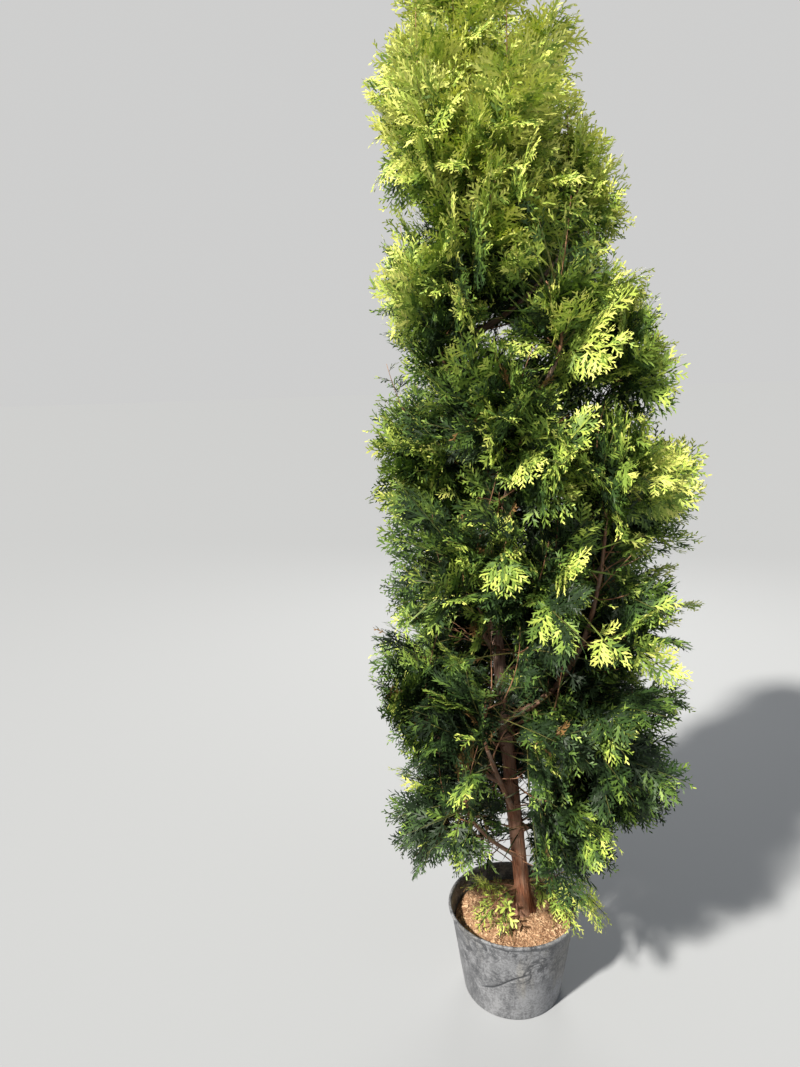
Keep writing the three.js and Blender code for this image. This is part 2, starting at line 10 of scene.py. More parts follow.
import bpy
import numpy as np
from mathutils import Matrix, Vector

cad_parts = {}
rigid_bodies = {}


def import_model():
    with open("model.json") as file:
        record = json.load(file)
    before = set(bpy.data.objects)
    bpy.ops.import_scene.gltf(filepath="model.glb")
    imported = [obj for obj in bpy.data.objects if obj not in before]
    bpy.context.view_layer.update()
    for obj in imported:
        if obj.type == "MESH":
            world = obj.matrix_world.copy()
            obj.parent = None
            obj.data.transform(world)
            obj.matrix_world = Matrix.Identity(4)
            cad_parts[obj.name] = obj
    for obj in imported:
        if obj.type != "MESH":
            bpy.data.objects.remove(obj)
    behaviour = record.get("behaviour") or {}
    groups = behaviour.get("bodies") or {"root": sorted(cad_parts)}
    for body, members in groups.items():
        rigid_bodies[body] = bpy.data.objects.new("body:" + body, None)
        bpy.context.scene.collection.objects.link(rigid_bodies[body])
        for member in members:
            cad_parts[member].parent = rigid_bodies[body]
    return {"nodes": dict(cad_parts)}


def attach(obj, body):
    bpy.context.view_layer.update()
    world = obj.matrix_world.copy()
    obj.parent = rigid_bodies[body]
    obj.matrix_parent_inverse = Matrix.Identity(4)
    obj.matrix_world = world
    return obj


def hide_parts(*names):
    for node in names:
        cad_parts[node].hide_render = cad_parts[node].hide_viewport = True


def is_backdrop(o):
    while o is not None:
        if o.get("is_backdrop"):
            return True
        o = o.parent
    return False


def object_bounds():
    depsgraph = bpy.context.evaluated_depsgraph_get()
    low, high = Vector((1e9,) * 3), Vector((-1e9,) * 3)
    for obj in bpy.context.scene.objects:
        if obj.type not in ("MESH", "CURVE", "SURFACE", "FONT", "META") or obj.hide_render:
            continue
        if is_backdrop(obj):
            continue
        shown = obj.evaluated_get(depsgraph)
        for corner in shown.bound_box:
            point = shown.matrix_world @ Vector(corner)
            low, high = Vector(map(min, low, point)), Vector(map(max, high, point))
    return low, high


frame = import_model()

CAD_BOX = [list(map(float, corner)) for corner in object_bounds()]
MM = 0.001
EAST = np.array([1.0, 0.0, 0.0])
UP = np.array([0.0, 0.0, 1.0])

# Sizes shared with the source
POT_HEIGHT = 205
POT_RIM_RADIUS = 140
POT_SHOULDER_RADIUS = 136
POT_FOOT_RADIUS = 108
POT_WALL = 3
POT_FLOOR = 4
POT_SLOPE = (POT_SHOULDER_RADIUS - POT_FOOT_RADIUS) / POT_HEIGHT
SOIL_LEVEL = 163
SOIL_CROWN = 5
SOIL_FLAT_RADIUS = 104
GAP = 0.3
TRUNK_FOOT = SOIL_LEVEL + SOIL_CROWN + GAP
TRUNK_TIP = 1930
TRUNK_FOOT_X = 30
TRUNK_FOOT_Y = 15
TRUNK_LEAN = 125
TRUNK_LEAN_POWER = 1.35
TRUNK_LEAN_BACK = 12
TRUNK_SWAY = 3
TRUNK_RADIUS = 17.5
TRUNK_TIP_RADIUS = 2.6
FLARE = 9
FLARE_HEIGHT = 28
SIDE_STEM = [(88, 40, TRUNK_FOOT - 4), (92, 36, 430), (46, 6, 630)]
SIDE_STEM_RADIUS = 5
SIDE_STEM_TIP_RADIUS = 3
SIDE_STEM_FOLIAGE = (110, 325, 0.42)

# The crown's outline: height, the X of its middle and its radius there
CROWN = np.array([
    (150, 20, 165), (330, 10, 225), (480, 18, 270), (700, 44, 308), (975, 50, 308), (1250, 38, 286),
    (1480, 0, 242), (1720, -36, 198), (1930, -66, 158), (2060, -92, 95), (2125, -100, 40),
], float)

# A bough's bend, off the middle of its way from foot to tip: a share of the way, times its sweep, and of
# the rise. A stem bends where its first direction has gone this share of the way.
SWEEP_OUT = 0.35
SWEEP_DOWN = 0.3
STEM_BEND = 0.48
# Boughs: foot height, tip height, azimuth, share of the crown's radius, sweep, radius, foliage's rise
BOUGHS = {
    "low_left": (309, 450, 219, 0.5, 0.2, 5, 80),
    "low_back": (345, 470, 92, 0.46, 0.4, 5, 90),
    "low_right": (372, 480, 350, 0.5, 0.4, 5, 90),
    "left_sweep": (421, 650, 232, 0.58, 0.1, 6, 110),
    "long_left": (478, 640, 192, 0.7, 0.3, 6, 130),
    "back_left": (560, 710, 135, 0.5, 0.5, 6, 130),
    "right_sweep": (640, 880, 315, 0.4, 0.7, 7, 0),
    "back_right": (690, 860, 52, 0.5, 0.5, 6, 140),
    "short_left": (797, 890, 212, 0.45, 0.9, 5.5, 130),
    "right_mid": (840, 990, 8, 0.54, 0.5, 6, 140),
    "left_mid": (925, 1080, 165, 0.5, 0.5, 5.5, 130),
    "back_mid": (960, 1120, 100, 0.48, 0.5, 5.5, 140),
    "front_leader": (1050, 1165, 238, 0.42, 0.9, 4.5, 130),
    "right_high": (1150, 1290, 345, 0.52, 0.5, 5, 140),
    "front_high": (1227, 1370, 285, 0.54, 0.6, 5, 130),
    "left_high": (1261, 1380, 203, 0.62, 0.4, 5, 120),
    "back_high": (1270, 1420, 70, 0.48, 0.5, 5, 140),
    "right_fork": (1424, 1590, 15, 0.58, 0.5, 5.5, 130),
    "left_top": (1560, 1680, 195, 0.48, 0.7, 3.8, 120),
    "back_top": (1590, 1720, 105, 0.46, 0.7, 3.6, 126),
}
BOUGH_TIP_SHARE = 0.65
RIGHT_RISE = (1050, 321, 0.48, 3, 130)

# Foliage straight from the trunk: height, rise, azimuth, share of the crown's radius, spray length
TRUNK_SHOOTS = {
    "foot_left": (228, -8, 212, 0.45, 100),
    "over_rim": (242, 7, 345, 0.62, 100),
    "low_front": (380, 90, 305, 0.46, 150),
    "mid_rear": (520, 110, 62, 0.46, 205),
    "mid_front": (620, 120, 302, 0.46, 205),
    "mid_right": (740, 120, 352, 0.5, 205),
    "upper_front": (880, 140, 280, 0.5, 205),
    "upper_rear": (1150, 130, 140, 0.48, 205),
    "high_front": (1440, 130, 255, 0.5, 205),
    "top_front": (1650, 130, 300, 0.5, 205),
    "top_right": (1750, 110, 20, 0.45, 190),
    "top_left": (1800, 100, 170, 0.42, 180),
}
SHOOT_ROOT_RADIUS = 3.6
SHOOT_RISE = 0.6
LEADING_SHOOT = (90, 200, 0.1)

# The rule of a mass of foliage
FOLIAGE_SHARE = 0.62
MARK_SHARES = np.array([0.1, 0.28, 0.46, 0.64, 0.82, 1.0])
TWIGS = 4
TWIG_FIRST = 0.1
TWIG_LAST = 0.86
TWIG_SHIFT = 0.7
TWIG_ANGLE = 50
TWIG_TURN = 9
TWIG_ROLL = 70
TWIG_REACH = 60
TWIG_RADIUS = 1.7
TWIG_DROOP = 0.1
SPRAY_LENGTH = 205
SPRAY_SIZES = (1.1, 1, 0.9, 0.8, 0.7, 0.6, 0.5)
SPRAY_TRIES = 16
SPRAY_ANGLE = 46
SPRAY_TURN = 22
SPRAY_ROLL = 80
SPRAY_ARCH = (0.12, 0.08)
SPRAY_OUTER = (1.05, 0.07)
# Room that sprays leave over the rim and the soil, and how far below the rim they hang beside the pot
POT_ROOM = 5
SOIL_ROOM = 3
HANG_BELOW_RIM = 70
DROOP_LOW = 0.55
DROOP_HIGH = -0.1
DROOP_SPAN = (300, 1400)
SPACE_CLEARANCE = 0.6
# A spray's outline: shares of its length along and aside, on its fuller side and on the other
FULL_TEETH = ((0.43, 0.33), (0.27, 0.08), (0.74, 0.27), (0.54, 0.07))
THIN_TEETH = ((0.6, 0.33), (0.4, 0.08), (0.89, 0.19), (0.7, 0.06))

# Finer growth, in the scene alone
# The golden angle, by which buds turn round their limb one after another
GOLDEN_TURN = 2.4
# The sizes that an extra spray tries, how often, and how far into the next mass's space it may reach
EXTRA_SIZES = (1.0, 0.8, 0.62)
EXTRA_TRIES = 6
EXTRA_SLACK = 52
EXTRA_SPREAD = 1.04
# How far the source's sprays and the extra ones keep off the trunk
MAIN_MARGIN = 8
EXTRA_MARGIN = 3
# Extra sprays on each stem, twig, bough and filler: how many, the first share of the limb and the width
# of the shares that they take, and the middle and spread of their reach, which on stems and twigs are
# shares of the mass's spray length
ON_STEM = (20, (0.04, 0.94), (0.66, 0.18))
ON_TWIG = (6, (0.12, 0.85), (0.54, 0.14))
ON_BOUGH = (12, (0.34, 0.62), (96, 22))
ON_FILLER = (9, (0.38, 0.6), (132, 30))
# Extra sprays up the trunk and, below those, behind it: how many, from which height, and their reach
ON_TRUNK = (112, 820, (135, 25))
BEHIND = (34, 300, (125, 25))
BEHIND_AZIMUTH = (85, 62)
BEHIND_AWAY = (70, 45)
# The first bud number of each kind
FIRST_BUD = {"stem": 40, "twig": 60, "bough": 100, "trunk": 120, "behind": 260, "filler": 300}
# Above this height the top is open: this share of the extra sprays is left out, but for those that
# grow from the trunk or a filler
OPEN_FROM = 1720
OPEN_SHARE = 0.5
ENVELOPE_SPREAD = 1.22
# One extra spray in so many reaches further out than the rest, by this spread
LONG_SHARE = 0.16
LONG_SPREAD = 1.15
# Above this height no spray is coarse
INNER_TOP = 1650
# Fillers, thin boughs to where the crown is emptiest: how many, chosen from how many seeded spots at
# which share of the crown's radius and between which heights
FILLERS = 32
FILLER_SPOTS = 500
FILLER_SHARE = 0.68
FILLER_FROM = 400
FILLER_TO = 1840
FILLER_BEND = np.array([0.6, 0.6, 0.35])
FILLER_RADIUS = 2.2
# Slender leading shoots that stand up out of the foliage, each with short sprays left and right
WHIPS = 2
WHIP_LENGTH = (165, 55)
WHIP_SPRAYS = 11
WHIP_SPRAY_LENGTH = (46, 12)
WHIP_RADIUS = 1.5
# How long side sprays and fingers are, as shares of their axis, by how far along it they stand
SIDE_PROFILE = (
    (0.0, 0.22), (0.08, 0.36), (0.2, 0.47), (0.36, 0.44), (0.55, 0.34), (0.72, 0.24), (0.88, 0.13),
    (1.0, 0.05),
)
FINGER_PROFILE = ((0.0, 0.26), (0.15, 0.38), (0.4, 0.38), (0.7, 0.28), (0.9, 0.18), (1.0, 0.12))
# The rule of each order of side axes: the fewest on an axis, their profile of lengths, their angles at
# the axis's root and tip, their roll, lift and hang, and a seed
SIDE_RULE = (5, SIDE_PROFILE, (50, 36), 34, 0.03, 0.05, 11)
FINGER_RULE = (3, FINGER_PROFILE, (50, 36), 30, 0.02, 0.02, 12)
TOOTH_RULE = (2, FINGER_PROFILE, (44, 34), 24, 0.0, 0.0, 13)
# Sprays nearer to the crown's middle line than this share are coarse, with fewer and larger fingers.
# The gaps between side sprays and between fingers: the coarse one, and for the others the part of
# the axis's length that a gap is, with the least and the most
INNER_DEPTH = 0.42
SIDE_GAPS = (15.0, 11, 9, 17)
FINGER_GAPS = (7.5, 10, 4.1, 5.9)
TOOTH_GAP = 5.0
# Fingers and teeth: how much longer than their profile says, and their least and most length
FINGER_STRETCH = 1.1
COARSE_STRETCH = 1.4
FINGER_LENGTHS = (7, 30)
TOOTHED_FROM = 12
TOOTH_STRETCH = 1.5
TOOTH_LENGTHS = (5.5, 12)
# Widths: the share of the length, the least and the most
SIDE_WIDTHS = (0.05, 2.4, 3.4)
FINGER_WIDTHS = (0.3, 2.9, 4.6)
TOOTH_WIDTHS = (0.5, 2.8, 4.2)
COARSE_WIDTH = 1.35
STALK_WIDTH = 3.0
# A leaf's strip: how wide it is, as a share of its width, at each share of its length before its point
STALK_STRIP = ((0.0, 0.8), (0.6, 1.0))
FINGER_STRIP = ((0.0, 0.62), (0.66, 1.0))
TOOTH_STRIP = ((0.0, 1.0),)

# The photograph's eye. What stands between it and the foot of the trunk or the soil is thinned out
VIEWER = np.array([-221.6, -1425.8, 1351.9])
BARE_TOP = 850
BARE_MARGIN = 13
BARE_POT_RADIUS = 164
BARE_POT_BACK = 110
BARE_KEPT = 0.10
# Leafless twigs on the lower limbs: how many, and between which heights
BARE_ON_TRUNK = 34
BARE_ON_BOUGH = 6
BARE_FROM = 230
BARE_TO = 1150
# Their bow along X, Y and Z: the draw, the middle and the spread
BARE_BOW = ((1, 0, 0.3), (2, 0, 0.3), (3, 0.1, 0.5))
# Where the sun stands, the stretches of the trunk that it reaches, and the foliage kept in its way
SUN_AZIMUTH = 224
SUN_ELEVATION = 44
SUN_FAR = 200000  # so far off that its rays are all but parallel
SUN_SPANS = ((165, 350), (700, 860))
SUN_MARGIN = 12
SUN_KEPT = 0.1
# The boughs that are seen bare from the same eye, and how far round their middles
BARE_LIMBS = (
    "bough_right_sweep", "bough_right_rise", "bough_left_sweep", "bough_low_left", "bough_right_fork",
)
LIMB_MARGIN = 20
LIMB_KEPT = 0.1
FINGER_MARGIN = 10
# Sides and rows of the meshes, and the spacing of a bough's rings
TRUNK_SIDES = 96
TRUNK_ROWS = 560
BOUGH_SIDES = 14
BOUGH_RING_GAP = 5
POT_SIDES = 240
SOIL_SIDES = 200
# The trunk's buttresses: how many, how far they stand out as a share of its radius, and their turn
BUTTRESSES = (3, 0.16, 0.6)
# How its bark winds: a swing as a share of a turn, over a height, a steady twist in turns for each
# millimetre, and a push to either side by patches, with their height, number round it and seed
BARK_SWING = (0.03, 90)
BARK_TWIST = 0.00012
BARK_PUSH = (0.022, 60, 6, 5)
# Its ridges, the grain between them and its plates: how tall their patches are, how many are round it,
# their seed, and how high they stand. All of it lies so far below the trunk's own radius.
BARK_RIDGES = (85, 20, 11, 1.5)
BARK_GRAIN = (32, 44, 12, 0.55)
BARK_PLATES = (55, 7, 13, 0.7)
BARK_SUNK = 1.4
# The collar on the trunk round a bough: how high, then its half width, its half height and how far its
# middle is above the bough's foot, in radii of the bough
COLLAR = (2.6, 1.5, 2.1, 1.4)
# A bough's own collar: how much thicker it is at the trunk, and the length over which that dies away
BOUGH_COLLAR = (0.55, 14)
# How far the pot is out of round, how often on its way round, and at which turn
POT_OVALS = ((1.3, 2, 0.7), (0.5, 3, 2.0))
# Slow waves in its wall: the height of their patches, how many round it, a seed and how deep
POT_WAVES = (70, 9, 21, 1.1)
# The pot's turned lip, shallower than the source's, and how much narrower the soil is below its
# surface than the pot, for the dent
LIP_DEPTH = 9
DENT_ROOM = 6
# The pot's dent: where round the pot it is, in radians, its span round, depth and height, and how far
# its middle is above the crease
DENT_TURN = 4.40
DENT_SPAN = 0.45
DENT_DEPTH = 2.4
DENT_TALL = 26
DENT_ABOVE = 22
# The crease below it: its height at the dent's middle, its rise per radian, its wave and the waves per
# radian, its span round, depth and width. The first four also lay the line of painted shade along it.
CREASE_HEIGHT = 97
CREASE_RISE = 71
CREASE_WAVE = 3
CREASE_WAVES = 9
CREASE_SPAN = 0.42
CREASE_DEPTH = 3.2
CREASE_WIDTH = 2.8
# Lumps in the soil: how high, how long in Y, how many cells in 600 mm of X, and a seed
SOIL_LUMPS = ((4.2, 26, 23, 41), (2.6, 11, 55, 42), (1.6, 5, 120, 43))
# The loose crumbs on the soil, how far out they lie, their least radius, what chance adds to it and the
# power of that chance. Those drawn above a share are splinters, and this is how much longer crumbs and
# splinters are at most.
CRUMBS = 3000
CRUMB_RADIUS = 121
CRUMB_SIZES = (1.2, 3.6, 2.4)
CRUMB_STRETCH = 0.5
SPLINTER_FROM = 0.72
SPLINTER_STRETCH = 5.5
# The small bright shoots at the trunk's foot, which stay in front of the soil. Their bright and gold
# tones are partly fresh young growth and partly painted light, bright as if in sun though the crown
# shades them.
FOOT_SHOOTS = ("foot_left", "over_rim")
FOOT_EXTRAS = 0.1
FOOT_FAN = 0.78
FOOT_SLIM = 0.7

LEAF_TONES = {
    "deep": (0.016, 0.034, 0.011),
    "shade": (0.040, 0.082, 0.020),
    "middle": (0.100, 0.175, 0.030),
    "fresh": (0.225, 0.335, 0.055),
    "bright": (0.470, 0.580, 0.105),
    "gold": (0.690, 0.720, 0.175),
    "bronze": (0.250, 0.140, 0.050),
}
TONE_STEPS = (0.24, 0.39, 0.53, 0.67, 0.86)
# What a side spray's tone adds up from, besides its height: how far out it is, how near its spray's
# tip, a painted light that makes the plant's right side (+X) brighter and its left side darker, a base,
# and chance for the whole spray and for the side spray alone
# How far out a spray is stands partly for the fresher outer growth and partly for painted shade: the inner
# foliage darker where shade falls
TONE_OUT = 0.42
TONE_TIP = 0.32
TONE_PAINTED_SIDE_LIGHT = 0.07
TONE_BASE = -0.25
TONE_SPRAY_CHANCE = 0.31
TONE_SIDE_CHANCE = 0.15
# The share of side sprays that is bronze, below a height
BRONZE_SHARE = 0.010
BRONZE_TOP = 1400
# Fingers past this share of their side spray are one tone brighter, this share of them, and those before
# this share are once or twice one darker. Of all fingers this share is one darker.
FRESHER = (0.62, 0.42)
OLDER = (0.5, 0.5, 0.3)
DARKER = 0.24
# How much brighter the foliage is at each height: partly the yellower new growth at the top and
# partly painted light, the top lighter as if in full sun and the lower crown darker as if in shade
HEIGHT_TONE = (
    (250, -0.02), (700, 0.10), (1100, 0.37), (1350, 0.35), (1600, 0.43), (1740, 0.86), (1880, 1.14),
)
PIECE_TRIANGLES = 190000
# Room that leaves leave at the trunk, inside the pot's wall, and at the rim and the soil, and how far
# past the box of the solids they may reach
LEAF_TRUNK_ROOM = 1.5
LEAF_WALL_ROOM = 5
LEAF_ROOM = 2
PAST_BOX = 12
# Points measured against all marks at once, to spare memory
POINTS_AT_ONCE = 40000


# Numbers that repeat
def chance(mass, twig, spray, use):
    """A repeatable number from 0 to 1: the fraction of a large multiple of the sine of the sum of the
    four numbers, each times its own constant."""
    wave = np.sin(mass * 12.9898 + twig * 78.233 + spray * 37.719 + use * 4.581) * 43758.5453
    return wave - np.floor(wave)


def about(middle, spread, draw):
    """A value from the middle less the spread, where the draw is 0, to the middle and the spread."""
    return middle + spread * (2 * draw - 1)


def patches(around, along, cells, seed):
    """Smooth value noise from 0 to 1 that closes on itself around: random corner values of a lattice
    of cells around by steps of 1 along, blended by 3s^2 - 2s^3 in each direction."""
    u, v = around * cells, along
    left, low = np.floor(u), np.floor(v)
    s, t = u - left, v - low
    s, t = s * s * (3 - 2 * s), t * t * (3 - 2 * t)

    def corner(du, dv):
        return chance(seed, (left + du) % cells, low + dv, 3)

    lower = corner(0, 0) * (1 - s) + corner(1, 0) * s
    upper = corner(0, 1) * (1 - s) + corner(1, 1) * s
    return lower * (1 - t) + upper * t


def runs(count, each):
    """For each of a count of owners a run of numbers from 0: the owners and the numbers, both flat."""
    return np.repeat(np.arange(count), each), np.tile(np.arange(each), count)


def spaced(span, order, count, draw):
    """Shares from the first of a span over its width, evenly spaced and each moved on by its draw."""
    return span[0] + span[1] * (order + draw) / count


def only(arrays, keep):
    """The same entries of every array."""
    return {key: value[keep] for key, value in arrays.items()}


def round_way(turn):
    """The level unit vector at each turn about Z."""
    return np.stack([np.cos(turn), np.sin(turn), np.zeros(np.shape(turn))], -1)


def unit(vectors):
    """Vectors over their lengths."""
    return vectors / np.maximum(np.linalg.norm(vectors, axis=-1, keepdims=True), 1e-9)


def turned(vectors, axis, angle):
    """Vectors turned about a unit axis: v cos a + (axis x v) sin a + axis (axis . v)(1 - cos a)."""
    cosine, sine = np.cos(angle)[..., None], np.sin(angle)[..., None]
    along = np.sum(axis * vectors, axis=-1, keepdims=True)
    return vectors * cosine + np.cross(axis, vectors) * sine + axis * along * (1 - cosine)


def placed(name, data):
    """A new object of the scene that shows a mesh, a light or a camera."""
    made = bpy.data.objects.new(name, data)
    bpy.context.scene.collection.objects.link(made)
    return made


# Pieces
def piece(name, points, faces, material, nodes, smooth=False, spread=None):
    """A mesh piece from points in millimetres and arrays of faces, one array for each number of
    corners. spread gives each face corner's place on the flat bark, in metres, in the same order."""
    mesh = bpy.data.meshes.new(name)
    mesh.vertices.add(len(points))
    mesh.vertices.foreach_set("co", (points * MM).astype(np.float32).ravel())
    corners = np.concatenate([part.ravel() for part in faces]).astype(np.int32)
    sizes = np.concatenate([np.full(len(part), part.shape[1]) for part in faces])
    mesh.loops.add(len(corners))
    mesh.loops.foreach_set("vertex_index", corners)
    mesh.polygons.add(len(sizes))
    mesh.polygons.foreach_set("loop_start", (np.cumsum(sizes) - sizes).astype(np.int32))
    mesh.polygons.foreach_set("use_smooth", np.full(len(sizes), smooth))
    if spread is not None:
        layer = mesh.uv_layers.new(name="bark")
        layer.data.foreach_set("uv", spread.astype(np.float32).ravel())
    mesh.update(calc_edges=True)
    mesh.validate()
    mesh.materials.append(material)
    made = placed(name, mesh)
    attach(made, "root")
    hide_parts(*nodes)


def lofted(rings, widths, lengths):
    """Tubes from rings of points, an array of tubes by rings by sides, closed at both ends by fans.
    Returns the points, the faces and each face corner's place along and around on the flat bark."""
    tubes, rows, sides = rings.shape[:3]
    tube, row, side = np.meshgrid(np.arange(tubes), np.arange(rows - 1), np.arange(sides), indexing="ij")
    next_side = (side + 1) % sides

    def index(r, s):
        return (tube * rows + r) * sides + s

    above = row + 1
    corners = ((row, side), (row, next_side), (above, next_side), (above, side))
    quads = np.stack([index(r, s) for r, s in corners], -1)
    fan = np.arange(1, sides - 1)
    start = np.arange(tubes)[:, None] * rows * sides
    zero = np.zeros_like(fan)
    bottom = np.stack(np.broadcast_arrays(start + zero, start + fan + 1, start + fan), -1)
    top = start + (rows - 1) * sides
    upper = np.stack(np.broadcast_arrays(top + zero, top + fan, top + fan + 1), -1)
    around = np.stack([side, side + 1, side + 1, side], -1) * (widths[tube] / sides)[..., None]
    up = np.stack([lengths[tube, row]] * 2 + [lengths[tube, above]] * 2, -1)
    flat = np.stack([around, up], -1).reshape(-1, 2)
    ends = np.zeros((bottom.size + upper.size, 2))
    faces = [quads.reshape(-1, 4), np.concatenate([bottom.reshape(-1, 3), upper.reshape(-1, 3)])]
    return rings.reshape(-1, 3), faces, np.concatenate([flat, ends]) * MM


def joined(parts):
    """Several sets of points, faces and flat places as one: the faces' numbers go up by the points
    before them."""
    points, quads, tris, flats, ends, first = [], [], [], [], [], 0
    for some, (four, three), flat in parts:
        points.append(some)
        quads.append(four + first)
        tris.append(three + first)
        flats.append(flat[: four.size])
        ends.append(flat[four.size:])
        first += len(some)
    return np.concatenate(points), [np.concatenate(quads), np.concatenate(tris)], np.concatenate(flats + ends)


# Curves
def bezier(curves, share):
    """Points of quadratic Bezier curves: a (1-t)^2 + 2 b t (1-t) + c t^2."""
    t = share[..., None]
    a, b, c = curves[..., 0, :], curves[..., 1, :], curves[..., 2, :]
    return a * (1 - t) ** 2 + 2 * b * t * (1 - t) + c * t * t


def heading_on(curves, share):
    """Unit direction of quadratic Bezier curves: (b - a)(1 - t) + (c - b) t."""
    t = share[..., None]
    a, b, c = curves[..., 0, :], curves[..., 1, :], curves[..., 2, :]
    return unit((b - a) * (1 - t) + (c - b) * t)


def outward(azimuth):
    """The level unit vector at an azimuth in degrees."""
    return np.array([math.cos(math.radians(azimuth)), math.sin(math.radians(azimuth)), 0.0])


def crown_at(height):
    """The crown's middle and radius: straight lines between the rows of CROWN and on past its ends."""
    row = np.clip(np.searchsorted(CROWN[:, 0], height), 1, len(CROWN) - 1)
    low, high = CROWN[row - 1], CROWN[row]
    share = (height - low[..., 0]) / (high[..., 0] - low[..., 0])
    middle = low[..., 1] + (high[..., 1] - low[..., 1]) * share
    return middle, low[..., 2] + (high[..., 2] - low[..., 2]) * share


def crown_point(height, azimuth, share):
    """The point at a height and an azimuth, at a share of the crown's radius from its middle."""
    middle, radius = crown_at(np.array(float(height)))
    return outward(azimuth) * radius * share + np.array([middle, 0.0, height])


def trunk_axis(share):
    """The trunk leans left by a power of the share still to go, with a slight growing sway."""
    lean = TRUNK_LEAN * (1 - np.maximum(1 - share, 0) ** TRUNK_LEAN_POWER)
    sway = TRUNK_SWAY * np.sin(5 * np.pi * share) * share
    x = TRUNK_FOOT_X - lean + sway
    y = TRUNK_FOOT_Y - TRUNK_LEAN_BACK * share + sway
    return np.stack([x, y, TRUNK_FOOT + (TRUNK_TIP - TRUNK_FOOT) * share], -1)


def trunk_share(height):
    """The share of the trunk that is below a height."""
    return (height - TRUNK_FOOT) / (TRUNK_TIP - TRUNK_FOOT)


def trunk_radius(share):
    """A straight taper and a flare that dies away as e^(-height / FLARE_HEIGHT)."""
    flare = FLARE * np.exp(-share * (TRUNK_TIP - TRUNK_FOOT) / FLARE_HEIGHT)
    return TRUNK_TIP_RADIUS + (TRUNK_RADIUS - TRUNK_TIP_RADIUS) * (1 - share) + flare


def sweep_curve(foot, tip, sweep):
    """A bough: from foot to tip, with the point it bends to moved outward and down by its sweep."""
    bend = (foot + tip) / 2
    bend[:2] += (tip - foot)[:2] * SWEEP_OUT * sweep
    bend[2] -= (tip - foot)[2] * SWEEP_DOWN * sweep
    return np.array([foot, bend, tip])


def stem_curve(root, heading, rise, azimuth, share):
    """A stem that sets out along its heading and ends at a share of the crown's radius."""
    tip = crown_point(root[2] + rise, azimuth, share)
    return np.array([root, root + heading * np.linalg.norm(tip - root) * STEM_BEND, tip])


def limbs_and_stems():
    """Every bough's curve and radii, and every mass's stem, radius and spray length, in the source's
    order."""
    boughs, stems = {}, []

    def bough(name, curve, radius, tip_radius):
        boughs[name] = (curve, radius, tip_radius)
        heading = heading_on(curve, np.array(1.0))
        return curve[2] + heading * GAP, heading

    for name, (foot, top, azimuth, share, sweep, radius, rise) in BOUGHS.items():
        curve = sweep_curve(trunk_axis(np.array(trunk_share(foot))), crown_point(top, azimuth, share), sweep)
        tip_radius = radius * BOUGH_TIP_SHARE
        root, heading = bough("bough_" + name, curve, radius, tip_radius)
        if rise:
            stems.append((stem_curve(root, heading, rise, azimuth, FOLIAGE_SHARE), tip_radius, SPRAY_LENGTH))
            continue
        top, azimuth, share, end_radius, rise = RIGHT_RISE
        second = stem_curve(root, heading, top - root[2], azimuth, share)
        root, heading = bough("bough_right_rise", second, tip_radius, end_radius)
        stems.append((stem_curve(root, heading, rise, azimuth, FOLIAGE_SHARE), end_radius, SPRAY_LENGTH))
    for height, rise, azimuth, share, size in TRUNK_SHOOTS.values():
        root = trunk_axis(np.array(trunk_share(height)))
        heading = unit(outward(azimuth) + UP * SHOOT_RISE)
        stems.append((stem_curve(root, heading, rise, azimuth, share), SHOOT_ROOT_RADIUS, size))
    side = np.array(SIDE_STEM, float)
    boughs["side_stem"] = (side, SIDE_STEM_RADIUS, SIDE_STEM_TIP_RADIUS)
    heading = heading_on(side, np.array(1.0))
    stem = stem_curve(side[2] + heading * GAP, heading, *SIDE_STEM_FOLIAGE)
    stems.append((stem, SIDE_STEM_TIP_RADIUS, SPRAY_LENGTH))
    top = trunk_axis(np.array(1.0)) + UP * GAP
    stems.append((stem_curve(top, UP, *LEADING_SHOOT), TRUNK_TIP_RADIUS, SPRAY_LENGTH))
    return boughs, stems


boughs, stems = limbs_and_stems()
stem_curves = np.array([curve for curve, _, _ in stems])
stem_radii = np.array([radius for _, radius, _ in stems])
spray_lengths = np.array([size for _, _, size in stems], float)
mass_numbers = np.arange(1, len(stems) + 1)
foot_masses = [len(BOUGHS) + list(TRUNK_SHOOTS).index(name) for name in FOOT_SHOOTS]
marks = bezier(stem_curves[:, None], np.broadcast_to(MARK_SHARES, (len(stems), len(MARK_SHARES))))


# Where foliage may be
def clear_of_pot(points):
    """True off the pot and the soil: outside the rim above a low line, inside it above the soil."""
    radial = np.hypot(points[..., 0], points[..., 1])
    beside = radial > POT_RIM_RADIUS + POT_ROOM
    lowest = np.where(beside, POT_HEIGHT - HANG_BELOW_RIM, POT_HEIGHT + POT_ROOM)
    return points[..., 2] > np.where(radial < SOIL_FLAT_RADIUS, TRUNK_FOOT + SOIL_ROOM, lowest)


def inside_space(mass, points, slack, spread):
    """True where a point is in the crown and nearer to its own mass's marks than to any other's, by
    more than the slack."""
    middle, radius = crown_at(points[:, 2])
    good = np.hypot(points[:, 0] - middle, points[:, 1]) <= radius * spread
    good &= clear_of_pot(points)
    todo = np.flatnonzero(good)
    flat = marks.reshape(-1, 3)
    for chunk in np.array_split(todo, max(1, len(todo) // POINTS_AT_ONCE)):
        some = points[chunk]
        squares = (some**2).sum(1)[:, None] + (flat**2).sum(1) - 2 * some @ flat.T
        nearest = np.sqrt(np.maximum(squares, 0)).reshape(len(some), len(marks), -1).min(2)
        rows = np.arange(len(some))
        own = nearest[rows, mass[chunk]].copy()
        nearest[rows, mass[chunk]] = np.inf
        good[chunk] = nearest.min(1) > own + slack
    return good


